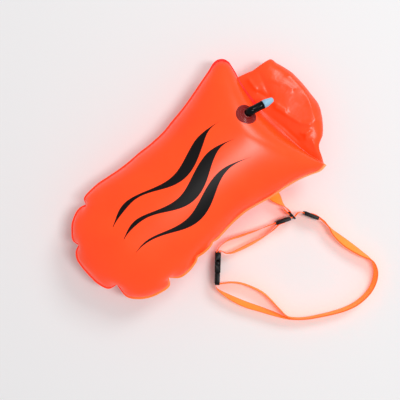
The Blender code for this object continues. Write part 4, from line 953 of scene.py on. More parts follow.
class BuoyNeckSettings(bpy.types.PropertyGroup):
    """The roll-top neck."""

    film_colour: bpy.props.StringProperty(
        name="Film", description="Colour of the neck's film, as sRGB hex", default="FF4E16")
    film_light: bpy.props.StringProperty(
        name="Film, pale", description="Its paler clouds, as sRGB hex", default="FF5E20")
    # Painted glow that stands in for the pigment's fluorescence
    glow_colour: bpy.props.StringProperty(
        name="Painted fluorescent glow", description="Colour that the pigment adds, as sRGB hex",
        default="FF2A00")
    glow: bpy.props.FloatProperty(
        name="Fluorescence, strength", description="How much it adds", default=0.21)
    fold_depth: bpy.props.FloatProperty(
        name="Fold depth", description="Depth of the folds, as a share", default=1.0)


class BUOY_OT_neck(bpy.types.Operator):
    """Makes the roll-top neck and its rolled mouth"""

    bl_idname = "buoy.neck"
    bl_label = "Roll-top neck"

    def execute(self, context):
        settings = context.scene.buoy_neck
        film = pouch_film(settings)
        place(neck_mesh(settings), film, "rolltop_neck")
        place(rolled_mouth_mesh(), film, "rolled_mouth")
        return {"FINISHED"}


# The webbing

def frame_matrix(centre, ahead):
    """Local x lies ahead, local y points up and local z runs through the piece."""
    x = Vector(ahead).normalized()
    turned = Matrix((x, UP, x.cross(UP))).transposed().to_4x4()
    return Matrix.Translation(centre) @ turned


def tagged(route):
    """The route's points as vectors with a lean, which is 0 where none is given."""
    return [Vector((*p, 0.0)) if len(p) == 3 else Vector(p) for p in route]


def bar_wrap(placed, end, side_from, side_to):
    """Webbing round a buckle's bar. end is -1 for the socket's bar and 1 for the plug's.
    The sides are in quarter turns: 0 is the bar's inner side, and 1 and -1 are its faces."""
    bar_x = end * (BUCKLE_LENGTH - BUCKLE_BAR) / 2
    route = []
    for step in range(WRAP_STEPS + 1):
        angle = math.pi / 2 * (side_from + (side_to - side_from) * step / WRAP_STEPS)
        route.append(placed @ Vector((bar_x - end * WRAP_RADIUS * math.cos(angle), 0.0,
                                      WRAP_RADIUS * math.sin(angle))))
    return route


def adjuster_wrap(placed, side, towards):
    """The sewn end round the adjuster's centre bar, which is stepped to the side given.
    towards says which way along the adjuster the strand leaves."""
    # Half of the webbing that runs through, then the turn's own webbing, then the bar
    outer = WEBBING_THICKNESS * 1.5 + GAP * 2 + ADJUSTER_BAR
    bar_z = outer - ADJUSTER_BAR / 2
    reach = ADJUSTER_BAR / 2 + GAP + WEBBING_THICKNESS / 2
    tip = reach + ADJUSTER_BAR / 2
    turn_x, turn_z = tip * WRAP_TURN_SHARES[0], reach * WRAP_TURN_SHARES[1]
    local = [(towards * STITCHED_OVERLAP, bar_z + reach), (0.0, bar_z + reach),
             (-towards * turn_x, bar_z + turn_z), (-towards * tip, bar_z),
             (-towards * turn_x, bar_z - turn_z), (0.0, bar_z - reach),
             (towards * STITCHED_OVERLAP, bar_z - reach)]
    return [placed @ Vector((x, 0.0, side * z)) for x, z in local]


def straight_through(placed, shares):
    """Webbing straight through an adjuster, at these shares of its length."""
    return [placed @ Vector((share * ADJUSTER_LENGTH, 0.0, 0.0)) for share in shares]


def offset_route(route, distance):
    """The route moved sideways in plan: positive distance is to the left of its travel."""
    route = tagged(route)
    moved = []
    for i, at in enumerate(route):
        travel = route[min(i + 1, len(route) - 1)] - route[max(i - 1, 0)]
        left = UP.cross(travel.xyz).normalized() * distance
        moved.append(Vector((at.x + left.x, at.y + left.y, at.z, at.w)))
    return moved


def webbing_mesh(name, route):
    """Woven tape along a route, with its own length and width as attributes. Returns the
    mesh and its centre line."""
    curve = catmull(tagged(route), WEBBING_STEP)
    line = [Vector(at[:3]) for at in curve]
    rings, alongs, acrosses = [], [], []
    travelled = 0.0
    for i, at in enumerate(line):
        if i:
            travelled += (at - line[i - 1]).length
        travel = (line[min(i + 1, len(line) - 1)] - line[max(i - 1, 0)]).normalized()
        side = travel.cross(UP).normalized()
        rise = side.cross(travel).normalized()
        turn = math.radians(curve[i][3])
        across = rise * math.cos(turn) + side * math.sin(turn)
        through = side * math.cos(turn) - rise * math.sin(turn)
        ring = []
        for wide, thick in TAPE_SECTION:
            ring.append(at + across * wide * WEBBING_WIDTH / 2
                        + through * thick * WEBBING_THICKNESS / 2)
            alongs.append(travelled)
            acrosses.append(wide * WEBBING_WIDTH / 2)
        rings.append(ring)
    mesh = ring_mesh(name, rings)
    add_attribute(mesh, "along", alongs)
    add_attribute(mesh, "across", acrosses)
    return mesh, line


def woven_webbing(settings):
    """Polyester webbing in a plain weave, dyed fluorescent: soft, ribbed across, with painted
    shade between its ribs and on its edges, a painted red glow, and letting some light through."""
    made, tree = new_material("woven polyester webbing")
    along, across = (
        add_node(tree, "ShaderNodeAttribute", None, {"attribute_name": way}).outputs["Fac"]
        for way in ("along", "across"))
    where = add_node(tree, "ShaderNodeCombineXYZ", {"X": along, "Y": across})
    # The ribs lie about 1 mm apart and the warp 0.8 mm; both are drawn a little coarser
    ribs = add_node(tree, "ShaderNodeTexWave", {
        "Vector": where, "Scale": wave_scale(0.0016), "Distortion": 0.6, "Detail": 1.0},
        {"bands_direction": "X"})
    warp = add_node(tree, "ShaderNodeTexWave",
                    {"Vector": where, "Scale": wave_scale(0.0012)}, {"bands_direction": "Y"})
    weave = add_node(tree, "ShaderNodeMath", {0: ribs.outputs["Fac"], 1: warp.outputs["Fac"]},
                     {"operation": "MULTIPLY"})
    bump = add_node(tree, "ShaderNodeBump", {"Strength": 0.6, "Distance": 0.0004, "Height": weave})
    # Painted shade: the grooves between the ribs take the darker shade colour, the crowns the lighter one
    tint = add_node(tree, "ShaderNodeMixRGB", {
        "Fac": weave, "Color1": colour(settings.webbing_shade),
        "Color2": colour(settings.webbing_colour)})
    # Painted shade on the tape's edges, redder and darker than its face
    off_middle = add_node(tree, "ShaderNodeMath", {0: across}, {"operation": "ABSOLUTE"})
    edge = add_node(tree, "ShaderNodeMapRange", {
        "Value": off_middle, "From Min": WEBBING_WIDTH / 2 - EDGE_SHADE_WIDTHS[0],
        "From Max": WEBBING_WIDTH / 2 - EDGE_SHADE_WIDTHS[1]})
    base = add_node(tree, "ShaderNodeMixRGB", {
        "Fac": edge, "Color1": tint, "Color2": colour(settings.edge_shade_colour)})
    # Painted glow: the emission stands in for the fluorescent dye, glows under any light, and lights the
    # floor and the shadows near the webbing red
    body = add_node(tree, "ShaderNodeBsdfPrincipled", {
        "Base Color": base, "Roughness": 0.75, "Sheen Weight": 0.3, "Normal": bump,
        "Emission Color": colour(settings.glow_colour), "Emission Strength": settings.glow})
    end_material(tree, body, colour(settings.through_colour), share=0.50)
    return made


class BuoyBeltSettings(bpy.types.PropertyGroup):
    """The webbing of the belt and the leash."""

    webbing_colour: bpy.props.StringProperty(
        name="Webbing", description="Colour of the weave's crowns, as sRGB hex",
        default="FFE65A")
    # Painted shade in the grooves between the ribs
    webbing_shade: bpy.props.StringProperty(
        name="Webbing, shade", description="Colour between the ribs, as sRGB hex",
        default="FFCC44")
    # Painted shade on the tape's edges
    edge_shade_colour: bpy.props.StringProperty(
        name="Edges, painted shade", description="Colour of the edges, as sRGB hex", default="FF8A34")
    # Painted glow that stands in for the dye's fluorescence
    glow_colour: bpy.props.StringProperty(
        name="Painted fluorescent glow", description="Colour that the dye adds, as sRGB hex",
        default="FF6E14")
    glow: bpy.props.FloatProperty(
        name="Fluorescence, strength", description="How much it adds", default=0.60)
    through_colour: bpy.props.StringProperty(
        name="Light through", description="Colour of the light through it, as sRGB hex",
        default="FF8434")


def belt_strand(node, finish, route, blend=None, turned=False):
    mesh, line = webbing_mesh(f"{node}_tape", route)
    strand = place(mesh, finish, node, body="blend" if blend else None)
    if blend:
        body, start, end = blend
        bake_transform(strand, "belt", body, start=start, end=end)
    if turned:
        line.reverse()


class BUOY_OT_belt(bpy.types.Operator):
    """Makes the belt's four strands"""

    bl_idname = "buoy.belt"
    bl_label = "Waist belt"

    def execute(self, context):
        finish = woven_webbing(context.scene.buoy_belt)
        buckle = frame_matrix(BELT_BUCKLE_CENTRE, BELT_BUCKLE_AHEAD)
        near = frame_matrix(SHORT_ADJUSTER_CENTRE, SHORT_ADJUSTER_AHEAD)
        far = frame_matrix(LONG_ADJUSTER_CENTRE, LONG_ADJUSTER_AHEAD)
        apart = (WEBBING_THICKNESS + GAP) / 2

        belt_strand("belt_strap_short", finish, [
            *bar_wrap(buckle, -1, BAR_MEETING_SHARE, 1.0), *SHORT_STRAP_ROUTE,
            *straight_through(near, SHORT_THROUGH_SHARES)], turned=True)
        belt_strand("belt_tail_short", finish, [
            *bar_wrap(buckle, -1, -BAR_MEETING_SHARE, -1.0), *SHORT_TAIL_ROUTE,
            *adjuster_wrap(near, 1, -1)], SHORT_TAIL_BLEND, turned=True)
        belt_strand("belt_strap_long", finish, [
            *RING_TO_LONG_ROUTE, *straight_through(far, LONG_THROUGH_SHARES),
            *offset_route(LONG_ROUTE, -apart)[1:], *LONG_STRAP_RETURN_ROUTE,
            *reversed(bar_wrap(buckle, 1, -BAR_MEETING_SHARE, -1.0))], PLUG_BLEND)

        # The long tail's sewn end is a piece of its own, which slides with its adjuster
        clear = far @ Vector((LONG_THROUGH_SHARES[-1] * ADJUSTER_LENGTH, 0.0, -2 * apart))
        middle = offset_route(LONG_ROUTE, apart)[1:]
        mesh, _ = webbing_mesh("belt_tail_long_sewn_end", [
            *reversed(adjuster_wrap(far, -1, 1)), clear, *middle[:3]])
        sewn = place(mesh, finish, None, body="blend")
        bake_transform(sewn, "belt", "long_adjuster", start=middle[2][:3], end=middle[0][:3])
        belt_strand("belt_tail_long", finish, [
            *middle[2:], *LONG_TAIL_RETURN_ROUTE,
            *reversed(bar_wrap(buckle, 1, BAR_MEETING_SHARE, 1.0))], PLUG_BLEND)
        return {"FINISHED"}


# The leash

def belly_below(tree, x, y):
    """The height of the belly's outer face over this place."""
    return tree.ray_cast(Vector((x, y, -BELLY_DROP)), UP)[0].z


def leash_patch_mesh(tree):
    """A welded patch with round corners, which follows the belly."""
    half, depth = PATCH_LENGTH / 2, (PATCH_INNER_Y - PATCH_OUTER_Y) / 2
    middle_y = (PATCH_INNER_Y + PATCH_OUTER_Y) / 2
    rings = []
    for r in range(PATCH_STEPS + 1):
        off = depth * (1 - 2 * r / PATCH_STEPS)
        over = max(0.0, abs(off) - depth + PATCH_CORNER)
        wide = half - PATCH_CORNER + math.sqrt(max(0.0, PATCH_CORNER**2 - over**2))
        xs = [PATCH_X + wide * (2 * c / PATCH_STEPS - 1) for c in range(PATCH_STEPS + 1)]
        near = [Vector((x, middle_y + off, belly_below(tree, x, middle_y + off) - PATCH_SEAT))
                for x in xs]
        far = [p - UP * PATCH_THICKNESS for p in reversed(near)]
        rings.append(near + far)
    return ring_mesh("leash_patch_sheet", rings)


def leash_route(tree):
    """Welded flat to the patch, then turned to stand at the ring's bar."""
    depth = PATCH_SEAT + PATCH_THICKNESS + LEASH_SEAT + WEBBING_THICKNESS / 2
    half = WEBBING_WIDTH / 2
    route = []
    for y in LEASH_WELD_YS:
        fall = belly_below(tree, PATCH_X + half, y) - belly_below(tree, PATCH_X - half, y)
        lean = 90 + math.degrees(math.atan2(fall, WEBBING_WIDTH))
        route.append(Vector((PATCH_X, y, belly_below(tree, PATCH_X, y) - depth, lean)))
    bar = RING_CENTRE + Vector((0.0, (RING_LENGTH - RING_BAR) / 2, 0.0))
    reach = RING_BAR / 2 + GAP * 2 + WEBBING_THICKNESS / 2
    turn = reach * SQUARE_WRAP_SHARE
    wrap = [(reach, LEASH_SEWN / 2), (reach, 0.0), (turn, -turn), (0.0, -reach),
            (-turn, -turn), (-reach, 0.0), (-reach, LEASH_SEWN / 2), (-reach, LEASH_SEWN)]
    return [*route, *LEASH_ROUTE, *(bar + Vector((x, y, 0.0)) for x, y in wrap)]


class BUOY_OT_leash(bpy.types.Operator):
    """Makes the leash and its patch on the belly"""

    bl_idname = "buoy.leash"
    bl_label = "Leash"

    def execute(self, context):
        belly = surface_of("back_panel_sheet")
        sheet = bpy.data.materials["PVC-coated polyester sheet"]
        place(leash_patch_mesh(belly), sheet, "leash_patch")
        mesh, _ = webbing_mesh("leash_strap_tape", leash_route(belly))
        place(mesh, woven_webbing(context.scene.buoy_belt), "leash_strap")
        return {"FINISHED"}


# The roll-top's tabs

def roll_tab_route(side):
    """Sewn along the outside of the roll's end, then round the buckle's bar and back."""
    buckle = frame_matrix((ROLL_BUCKLE_X, NECK_CENTRE_Y, ROLL_BUCKLE_HEIGHT), (0.0, -1.0, 0.0))
    stand_off = (ROLL_CORE_WIDTH + WEBBING_THICKNESS) / 2 + ROLL_SHEET + GAP
    stand_off += ROLL_TURNS * ROLL_PITCH
    route = []
    for share in ROLL_TAB_SHARES:
        x, y, angle = roll_bend(side * share)
        outward = Vector((math.cos(angle), math.sin(angle), 0.0))
        route.append(Vector((x, NECK_CENTRE_Y + y, ROLL_BUCKLE_HEIGHT)) + outward * stand_off)
    bar_y = (BUCKLE_LENGTH - BUCKLE_BAR) / 2 + ROLL_TAB_LEAD
    route.append(Vector((ROLL_BUCKLE_X - WRAP_RADIUS, NECK_CENTRE_Y + side * bar_y,
                         ROLL_BUCKLE_HEIGHT)))
    wrap = bar_wrap(buckle, -side, 1.0, -1.0)
    return route + wrap + [wrap[-1] + Vector((0.0, side * ROLL_TAB_RETURN, 0.0))]


class BUOY_OT_tabs(bpy.types.Operator):
    """Makes the two webbing tabs that hold the roll-top's buckle"""

    bl_idname = "buoy.tabs"
    bl_label = "Roll-top tabs"

    def execute(self, context):
        finish = woven_webbing(context.scene.buoy_belt)
        mesh, _ = webbing_mesh("rolltop_tab_left_tape", roll_tab_route(1))
        place(mesh, finish, "rolltop_tab_left")
        mesh, line = webbing_mesh("rolltop_tab_right_tape", roll_tab_route(-1))
        tab = place(mesh, finish, "rolltop_tab_right", body="blend")
        bar_y = NECK_CENTRE_Y - (BUCKLE_LENGTH - BUCKLE_BAR) / 2
        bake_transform(tab, "bag", "rolltop_plug", start=(line[0].x, line[0].y, 0.0),
                 end=(ROLL_BUCKLE_X, bar_y, 0.0))
        return {"FINISHED"}


# The moulded hardware

# Degrees: faces that meet under the first are one, and edges over the second are rounded
FLAT_ANGLE = 1
ARRIS_ANGLE = 35
BUCKLE_PARTS = ("socket", "plug", "prong_upper", "prong_lower")
HARDWARE = (
    *(f"rolltop_buckle_{part}" for part in BUCKLE_PARTS),
    "leash_ring", "belt_adjuster_short", "belt_adjuster_long",
    *(f"belt_buckle_{part}" for part in BUCKLE_PARTS),
)


def moulded_acetal(settings):
    """Black acetal from a spark-eroded mould: a fine even grain, with a dull sheen that
    gathers on the rounded arrises."""
    made, tree = new_material("moulded black acetal")
    where = add_node(tree, "ShaderNodeTexCoord").outputs["Object"]
    grain = add_node(tree, "ShaderNodeTexNoise",
                     {"Vector": where, "Scale": 1 / 0.0006, "Detail": 2.0})
    rubbed = add_node(tree, "ShaderNodeTexNoise", {"Vector": where, "Scale": 1 / 0.012})
    bump = add_node(tree, "ShaderNodeBump",
                    {"Strength": 0.25, "Distance": 0.0001, "Height": grain})
    gloss = add_node(tree, "ShaderNodeMapRange", {"Value": rubbed, "To Min": 0.30, "To Max": 0.42})
    end_material(tree, add_node(tree, "ShaderNodeBsdfPrincipled", {
        "Base Color": colour(settings.acetal_colour), "Roughness": gloss, "IOR": 1.48,
        "Specular IOR Level": 0.18, "Normal": bump}))
    return made


def moulding(node, arris):
    """The solid's form with its flat faces made whole and its arrises rounded."""
    mesh = bpy.data.objects[node].data.copy()
    mesh.transform(bpy.data.objects[node].matrix_world)
    for attribute in [a.name for a in mesh.attributes if a.name.startswith("_")]:
        mesh.attributes.remove(mesh.attributes[attribute])
    bm = bmesh.new()
    bm.from_mesh(mesh)
    bmesh.ops.remove_doubles(bm, verts=bm.verts, dist=MERGE)
    bmesh.ops.dissolve_limit(bm, angle_limit=math.radians(FLAT_ANGLE), verts=bm.verts,
                             edges=bm.edges)
    sharp = [edge for edge in bm.edges if len(edge.link_faces) == 2
             and edge.calc_face_angle() > math.radians(ARRIS_ANGLE)]
    bmesh.ops.bevel(bm, geom=sharp, offset=arris, offset_type="OFFSET", segments=2,
                    profile=0.5, affect="EDGES", clamp_overlap=True)
    bmesh.ops.recalc_face_normals(bm, faces=bm.faces)
    bm.to_mesh(mesh)
    bm.free()
    mesh.name = f"{node}_moulding"
    return mesh


class BuoyHardwareSettings(bpy.types.PropertyGroup):
    """The buckles, the adjusters and the ring."""

    acetal_colour: bpy.props.StringProperty(
        name="Acetal", description="Colour of the moulded hardware, as sRGB hex",
        default="110E10")
    arris: bpy.props.FloatProperty(
        name="Arris", description="How far each arris is rounded", default=0.00035,
        unit="LENGTH")


class BUOY_OT_hardware(bpy.types.Operator):
    """Makes the buckles, the adjusters and the leash ring"""

    bl_idname = "buoy.hardware"
    bl_label = "Hardware"

    def execute(self, context):
        settings = context.scene.buoy_hardware
        finish = moulded_acetal(settings)
        for node in HARDWARE:
            place(moulding(node, settings.arris), finish, node, sharp=40)
        return {"FINISHED"}


# The oral valve

def valve_frame(tree, leg):
    """The way out of the panel where the valve stands, and the way along it to the leg."""
    spread = VALVE_FLANGE_RADIUS * VALVE_PROBE_SHARE
    above = Vector((VALVE_X, VALVE_Y, SEAM_HEIGHT + TOP_RISE * 2))
    hits = [tree.ray_cast(above + Vector((dx, dy, 0.0)), -UP)[0]
            for dx, dy in ((spread, 0), (-spread, 0), (0, spread), (0, -spread))]
    outward = (hits[0] - hits[1]).cross(hits[2] - hits[3]).normalized()
    return outward, (leg - outward * leg.dot(outward)).normalized()


def elbow_path():
    """The elbow's centre line, worked back from the mouthpiece's joint."""
    leg = Vector(TWIST["axis"]).normalized()
    outward, inward = valve_frame(surface_of("front_panel"), leg)
    end = Vector(TWIST["pos_m"]) - leg * GAP
    turn = outward.angle(leg)
    bend_end = end - leg * TUBE_LEG
    centre = bend_end - (outward * math.sin(turn) - inward * math.cos(turn)) * TUBE_BEND_RADIUS
    bend_start = centre - inward * TUBE_BEND_RADIUS
    foot = bend_start - outward * TUBE_STEM
    path = [(foot - outward * TUBE_STEM_BELOW, outward), (foot, outward)]
    for step in range(TUBE_BEND_STEPS + 1):
        angle = turn * step / TUBE_BEND_STEPS
        radial = outward * math.sin(angle) - inward * math.cos(angle)
        along = outward * math.cos(angle) + inward * math.sin(angle)
        path.append((centre + radial * TUBE_BEND_RADIUS, along))
    path += [(bend_end + leg * TUBE_LEG * share, leg) for share in TUBE_LEG_SHARES]
    return path, foot, outward, inward


def circle(at, side, up, radius):
    return [at + (side * math.cos(a) + up * math.sin(a)) * radius for a in ROUND]


def tube_mesh(path):
    """The elbow, swollen in its bend, with a rolled lip at its end and its bore through it."""
    side = path[0][1].cross(path[-1][1]).normalized()
    outside, bore = [], []
    for i, (at, along) in enumerate(path):
        up = side.cross(along).normalized()
        bent = clamp((i - 1) / (TUBE_BEND_STEPS + 2), 0.0, 1.0)
        radius = TUBE_RADIUS + TUBE_BEND_SWELL * math.sin(math.pi * bent)
        if len(path) - 3 <= i < len(path) - 1:
            radius += TUBE_LIP
        outside.append(circle(at, side, up, radius))
        bore.append(circle(at, side, up, TUBE_BORE_RADIUS))
    return ring_mesh("valve_elbow_tube", outside + bore[::-1], capped=False)


def mouthpiece_mesh(start, along):
    """The twist tip, turned, with its spigot below and its bore through it."""
    profile = [(-SPIGOT_LENGTH, MOUTHPIECE_BORE_RADIUS), (-SPIGOT_LENGTH, SPIGOT_RADIUS),
               (0.0, SPIGOT_RADIUS), (0.0, MOUTHPIECE_BASE_RADIUS - MOUTHPIECE_ARRIS),
               (MOUTHPIECE_ARRIS, MOUTHPIECE_BASE_RADIUS)]
    for outside, full in ((MOUTHPIECE_BASE, MOUTHPIECE_BASE_RADIUS),
                          (MOUTHPIECE_TIP, MOUTHPIECE_TIP_RADIUS)):
        profile += [(MOUTHPIECE_LENGTH * far, full * wide) for far, wide in outside]
    profile.append((MOUTHPIECE_LENGTH, MOUTHPIECE_BORE_RADIUS))
    side = along.cross(UP).normalized()
    up = side.cross(along).normalized()
    rings = [circle(start + along * far, side, up, radius) for far, radius in profile]
    return ring_mesh("mouthpiece_moulding", rings, capped=False)


def flange_mesh(tree, foot, outward, inward):
    """A soft flange that follows the panel, with ribs round a collar."""
    hole = TUBE_RADIUS + GAP
    profile = [(hole, 0.0), (VALVE_COLLAR_RADIUS, 0.0), (VALVE_RIB_RADIUS, 0.0),
               (VALVE_FLANGE_RADIUS, 0.0),
               (VALVE_FLANGE_RADIUS, VALVE_FLANGE_THICKNESS * VALVE_RIM_SHARE)]
    outer = VALVE_FLANGE_RADIUS - VALVE_RIM_INSET
    inner = VALVE_COLLAR_RADIUS + VALVE_COLLAR_FOOT
    for k in range(VALVE_RIB_STEPS + 1):
        radius = outer + (inner - outer) * k / VALVE_RIB_STEPS
        wave = 0.5 - 0.5 * math.cos(2 * math.pi * (outer - radius) / VALVE_RIB_PITCH)
        profile.append((radius, VALVE_FLANGE_THICKNESS + VALVE_RIB_HEIGHT * wave))
    profile.append((VALVE_COLLAR_RADIUS, VALVE_FLANGE_THICKNESS * VALVE_WALL_FOOT_SHARE))
    profile += [(VALVE_COLLAR_RADIUS - VALVE_FLANGE_THICKNESS * deep, VALVE_COLLAR_HEIGHT * high)
                for deep, high in VALVE_COLLAR_SHARES]
    profile.append((hole, VALVE_COLLAR_HEIGHT))
    across = outward.cross(inward)
    rings = []
    for radius, height in profile:
        ring = []
        for spot in circle(foot, inward, across, radius):
            hit = tree.ray_cast(spot + outward * TOP_RISE, -outward)[0]
            ring.append(hit + outward * (height + GAP))
        rings.append(ring)
    return ring_mesh("valve_flange_moulding", rings, capped=False)


def soft_moulding(name, base_hex, roughness, shine, clear=0.0):
    """Soft vinyl or polythene from a polished mould: a deep wet gloss, a little cloudy, with
    light in its thin rims where it is clear."""
    made, tree = new_material(name)
    where = add_node(tree, "ShaderNodeTexCoord").outputs["Object"]
    cloud = add_node(tree, "ShaderNodeTexNoise", {"Vector": where, "Scale": 1 / 0.004})
    gloss = add_node(tree, "ShaderNodeMapRange", {
        "Value": cloud, "To Min": roughness, "To Max": roughness + 0.08})
    body = add_node(tree, "ShaderNodeBsdfPrincipled", {
        "Base Color": colour(base_hex), "Roughness": gloss, "IOR": 1.52,
        "Specular IOR Level": shine})
    end_material(tree, body, colour(base_hex), clear)
    return made


def extruded_strip():
    """Extruded polythene strip, grey, with faint draw lines along it."""
    made, tree = new_material("extruded grey polythene")
    where = add_node(tree, "ShaderNodeTexCoord").outputs["Object"]
    lines = add_node(tree, "ShaderNodeTexWave", {"Vector": where, "Scale": wave_scale(0.0010)},
                     {"bands_direction": "Z"})
    bump = add_node(tree, "ShaderNodeBump",
                    {"Strength": 0.2, "Distance": 0.0001, "Height": lines.outputs["Fac"]})
    end_material(tree, add_node(tree, "ShaderNodeBsdfPrincipled", {
        "Base Color": colour("58595C"), "Roughness": 0.45, "Normal": bump}))
    return made


class BuoyValveSettings(bpy.types.PropertyGroup):
    """The oral valve."""

    flange_colour: bpy.props.StringProperty(
        name="Flange", description="Colour of the soft flange, as sRGB hex", default="A02422")
    tube_colour: bpy.props.StringProperty(
        name="Elbow", description="Colour of the elbow, as sRGB hex", default="060406")
    tip_colour: bpy.props.StringProperty(
        name="Mouthpiece", description="Colour of the mouthpiece, as sRGB hex",
        default="AFDDF6")


class BUOY_OT_valve(bpy.types.Operator):
    """Makes the oral valve on the front panel, and finishes the pieces that stay inside"""

    bl_idname = "buoy.valve"
    bl_label = "Oral valve"

    def execute(self, context):
        settings = context.scene.buoy_valve
        path, foot, outward, inward = elbow_path()
        red = soft_moulding("soft red vinyl", settings.flange_colour,
                            roughness=0.10, shine=0.50, clear=0.25)
        mesh = flange_mesh(surface_of("front_panel_sheet"), foot, outward, inward)
        place(mesh, red, "valve_flange", sharp=50)
        black = soft_moulding("glossy black vinyl", settings.tube_colour,
                              roughness=0.14, shine=0.16)
        place(tube_mesh(path), black, "valve_elbow", sharp=50)
        pale = soft_moulding("natural blue polythene", settings.tip_colour,
                             roughness=0.30, shine=0.40, clear=0.30)
        mesh = mouthpiece_mesh(Vector(TWIST["pos_m"]), path[-1][1])
        place(mesh, pale, "mouthpiece", sharp=50)
        for node, finish in (("valve_pin", pale), ("valve_seal", black),
                             ("rolltop_stiffener", extruded_strip())):
            kept = bpy.data.objects[node].data
            kept.materials.clear()
            kept.materials.append(finish)
        return {"FINISHED"}


# The print

def wave_place(line, share):
    """The middle of a printed wave, and half its width, at this share of its length."""
    offset, swing, phase, thick = line
    x = PRINT_TAIL_X + (PRINT_HEAD_X - PRINT_TAIL_X) * share
    turn = 2 * math.pi * share * PRINT_WAVES + phase
    swell = 0.5 + 0.5 * math.cos(turn + PRINT_SWELL_LEAD)
    end = clamp(min(share, 1 - share) * PRINT_TAPER_RATE, 0.0, 1.0)
    taper = end * end * (3 - 2 * end)
    width = thick * (PRINT_THIN_SHARE + (1 - PRINT_THIN_SHARE) * swell)
    width *= PRINT_TIP_SHARE + (1 - PRINT_TIP_SHARE) * taper
    return Vector((x, offset + swing * math.sin(turn), 0.0)), width / 2


def wave_mesh(name, tree, line):
    middles = [wave_place(line, s / PRINT_STEPS) for s in range(PRINT_STEPS + 1)]
    rings = []
    for s, (middle, half) in enumerate(middles):
        travel = middles[min(s + 1, PRINT_STEPS)][0] - middles[max(s - 1, 0)][0]
        left = UP.cross(travel).normalized()
        top, under = [], []
        for c in range(PRINT_COLUMNS + 1):
            spot = middle + left * half * (2 * c / PRINT_COLUMNS - 1)
            hit, normal, *_ = tree.ray_cast(spot + UP * PROBE_HEIGHT, -UP)
            top.append(hit + normal * (PRINT_LIFT + PRINT_THICKNESS))
            under.append(hit + normal * PRINT_LIFT)
        rings.append(top + list(reversed(under)))
    return ring_mesh(name, rings)


def screen_ink():
    """Black screen ink on the sheet: dense, a little duller than the sheet, and laid a
    little unevenly."""
    made, tree = new_material("black screen ink")
    where = add_node(tree, "ShaderNodeTexCoord").outputs["Object"]
    tint, _ = clouded(tree, where, "0A0809", "151112", size=0.003, detail=3.0)
    end_material(tree, add_node(tree, "ShaderNodeBsdfPrincipled", {
        "Base Color": tint, "Roughness": 0.34, "Specular IOR Level": 0.16}))
    return made


class BUOY_OT_print(bpy.types.Operator):
    """Prints three plain waves on the front panel"""

    bl_idname = "buoy.print"
    bl_label = "Print"

    def execute(self, context):
        panel = surface_of("front_panel_sheet")
        ink = screen_ink()
        for number, line in enumerate(PRINT_LINES, 1):
            place(wave_mesh(f"printed_wave_{number}", panel, line), ink, None, body="bag")
        return {"FINISHED"}


# The stage

class BuoyStageSettings(bpy.types.PropertyGroup):
    """The stage: floor, lights and camera."""

    floor_size: bpy.props.FloatProperty(
        name="Floor size", description="Side of the square floor", default=12.0, unit="LENGTH")
    floor_colour: bpy.props.StringProperty(
        name="Floor colour", description="Paper colour, as sRGB hex", default="F0EFF0")
    camera_height: bpy.props.FloatProperty(
        name="Camera height", description="Height over the floor", default=1.7, unit="LENGTH")
    field: bpy.props.FloatProperty(
        name="Field", description="Width of floor that the camera sees", default=0.8,
        unit="LENGTH")
    camera_turn: bpy.props.FloatProperty(
        name="Camera turn", description="Turn about the vertical", subtype="ANGLE",
        default=math.radians(-42.4))


def backdrop_paper(settings):
    """Seamless uncoated paper, matt, with no gloss to show the lamps."""
    made, tree = new_material("matt backdrop paper")
    end_material(tree, add_node(tree, "ShaderNodeBsdfPrincipled", {
        "Base Color": colour(settings.floor_colour), "Roughness": 0.9}))
    return made


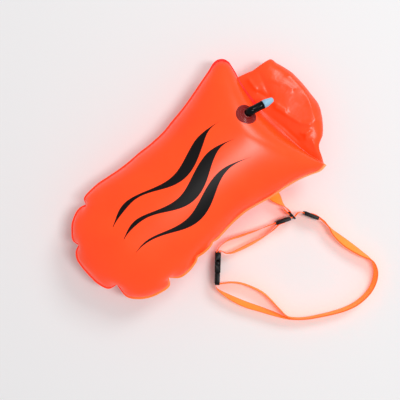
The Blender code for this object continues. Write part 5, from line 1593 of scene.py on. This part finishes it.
class BUOY_OT_stage(bpy.types.Operator):
    """Lays the floor, sets the lights and hangs the camera over the buoy"""

    bl_idname = "buoy.stage"
    bl_label = "Stage"

    def execute(self, context):
        settings = context.scene.buoy_stage
        half = settings.floor_size / 2
        mesh = bpy.data.meshes.new("floor")
        mesh.from_pydata([(-half, -half, 0), (half, -half, 0), (half, half, 0), (-half, half, 0)],
                         [], [(0, 1, 2, 3)])
        mesh.materials.append(backdrop_paper(settings))
        add_object("floor", mesh)

        data = bpy.data.cameras.new("camera")
        data.lens = data.sensor_width * settings.camera_height / settings.field
        camera = add_object("camera", data)
        camera.location = (CAMERA_X, CAMERA_Y, settings.camera_height)
        camera.rotation_euler = (0.0, 0.0, settings.camera_turn)
        context.scene.camera = camera

        world = bpy.data.worlds.new("studio")
        world.use_nodes = True
        background = world.node_tree.nodes["Background"]
        background.inputs["Strength"].default_value = WORLD_STRENGTH
        background.inputs["Color"].default_value = (1, 1, 1, 1)
        context.scene.world = world
        for name, at, towards, sides, energy in LAMPS:
            data = bpy.data.lights.new(name, "AREA")
            data.shape = "RECTANGLE"
            data.size, data.size_y = sides
            data.energy = energy
            lamp = add_object(name, data)
            lamp.location = at
            facing = Vector(towards) - Vector(at)
            lamp.rotation_euler = facing.to_track_quat("-Z", "Y").to_euler()
        return {"FINISHED"}


STEPS = ("stage", "bag", "neck", "belt", "leash", "tabs", "hardware", "valve", "print")


class BUOY_PT_steps(bpy.types.Panel):
    """Lists the steps that make the buoy, in their order"""

    bl_idname = "BUOY_PT_steps"
    bl_label = "Swim buoy"
    bl_space_type = "VIEW_3D"
    bl_region_type = "UI"
    bl_category = "Swim buoy"

    def draw(self, context):
        for step in STEPS:
            self.layout.operator(f"buoy.{step}")


SETTINGS = {
    "buoy_bag": BuoyBagSettings,
    "buoy_neck": BuoyNeckSettings,
    "buoy_belt": BuoyBeltSettings,
    "buoy_hardware": BuoyHardwareSettings,
    "buoy_valve": BuoyValveSettings,
    "buoy_stage": BuoyStageSettings,
}
CLASSES = (*SETTINGS.values(), BUOY_OT_stage, BUOY_OT_bag, BUOY_OT_neck, BUOY_OT_belt,
           BUOY_OT_leash, BUOY_OT_tabs, BUOY_OT_hardware, BUOY_OT_valve, BUOY_OT_print,
           BUOY_PT_steps)


def register():
    for cls in CLASSES:
        bpy.utils.register_class(cls)
    for name, group in SETTINGS.items():
        setattr(bpy.types.Scene, name, bpy.props.PointerProperty(type=group))


def unregister():
    for name in SETTINGS:
        delattr(bpy.types.Scene, name)
    for cls in reversed(CLASSES):
        bpy.utils.unregister_class(cls)


def main():
    register()
    bpy.context.scene.view_settings.view_transform = "Standard"
    for step in STEPS:
        getattr(bpy.ops.buoy, step)()


if __name__ == "__main__":
    main()
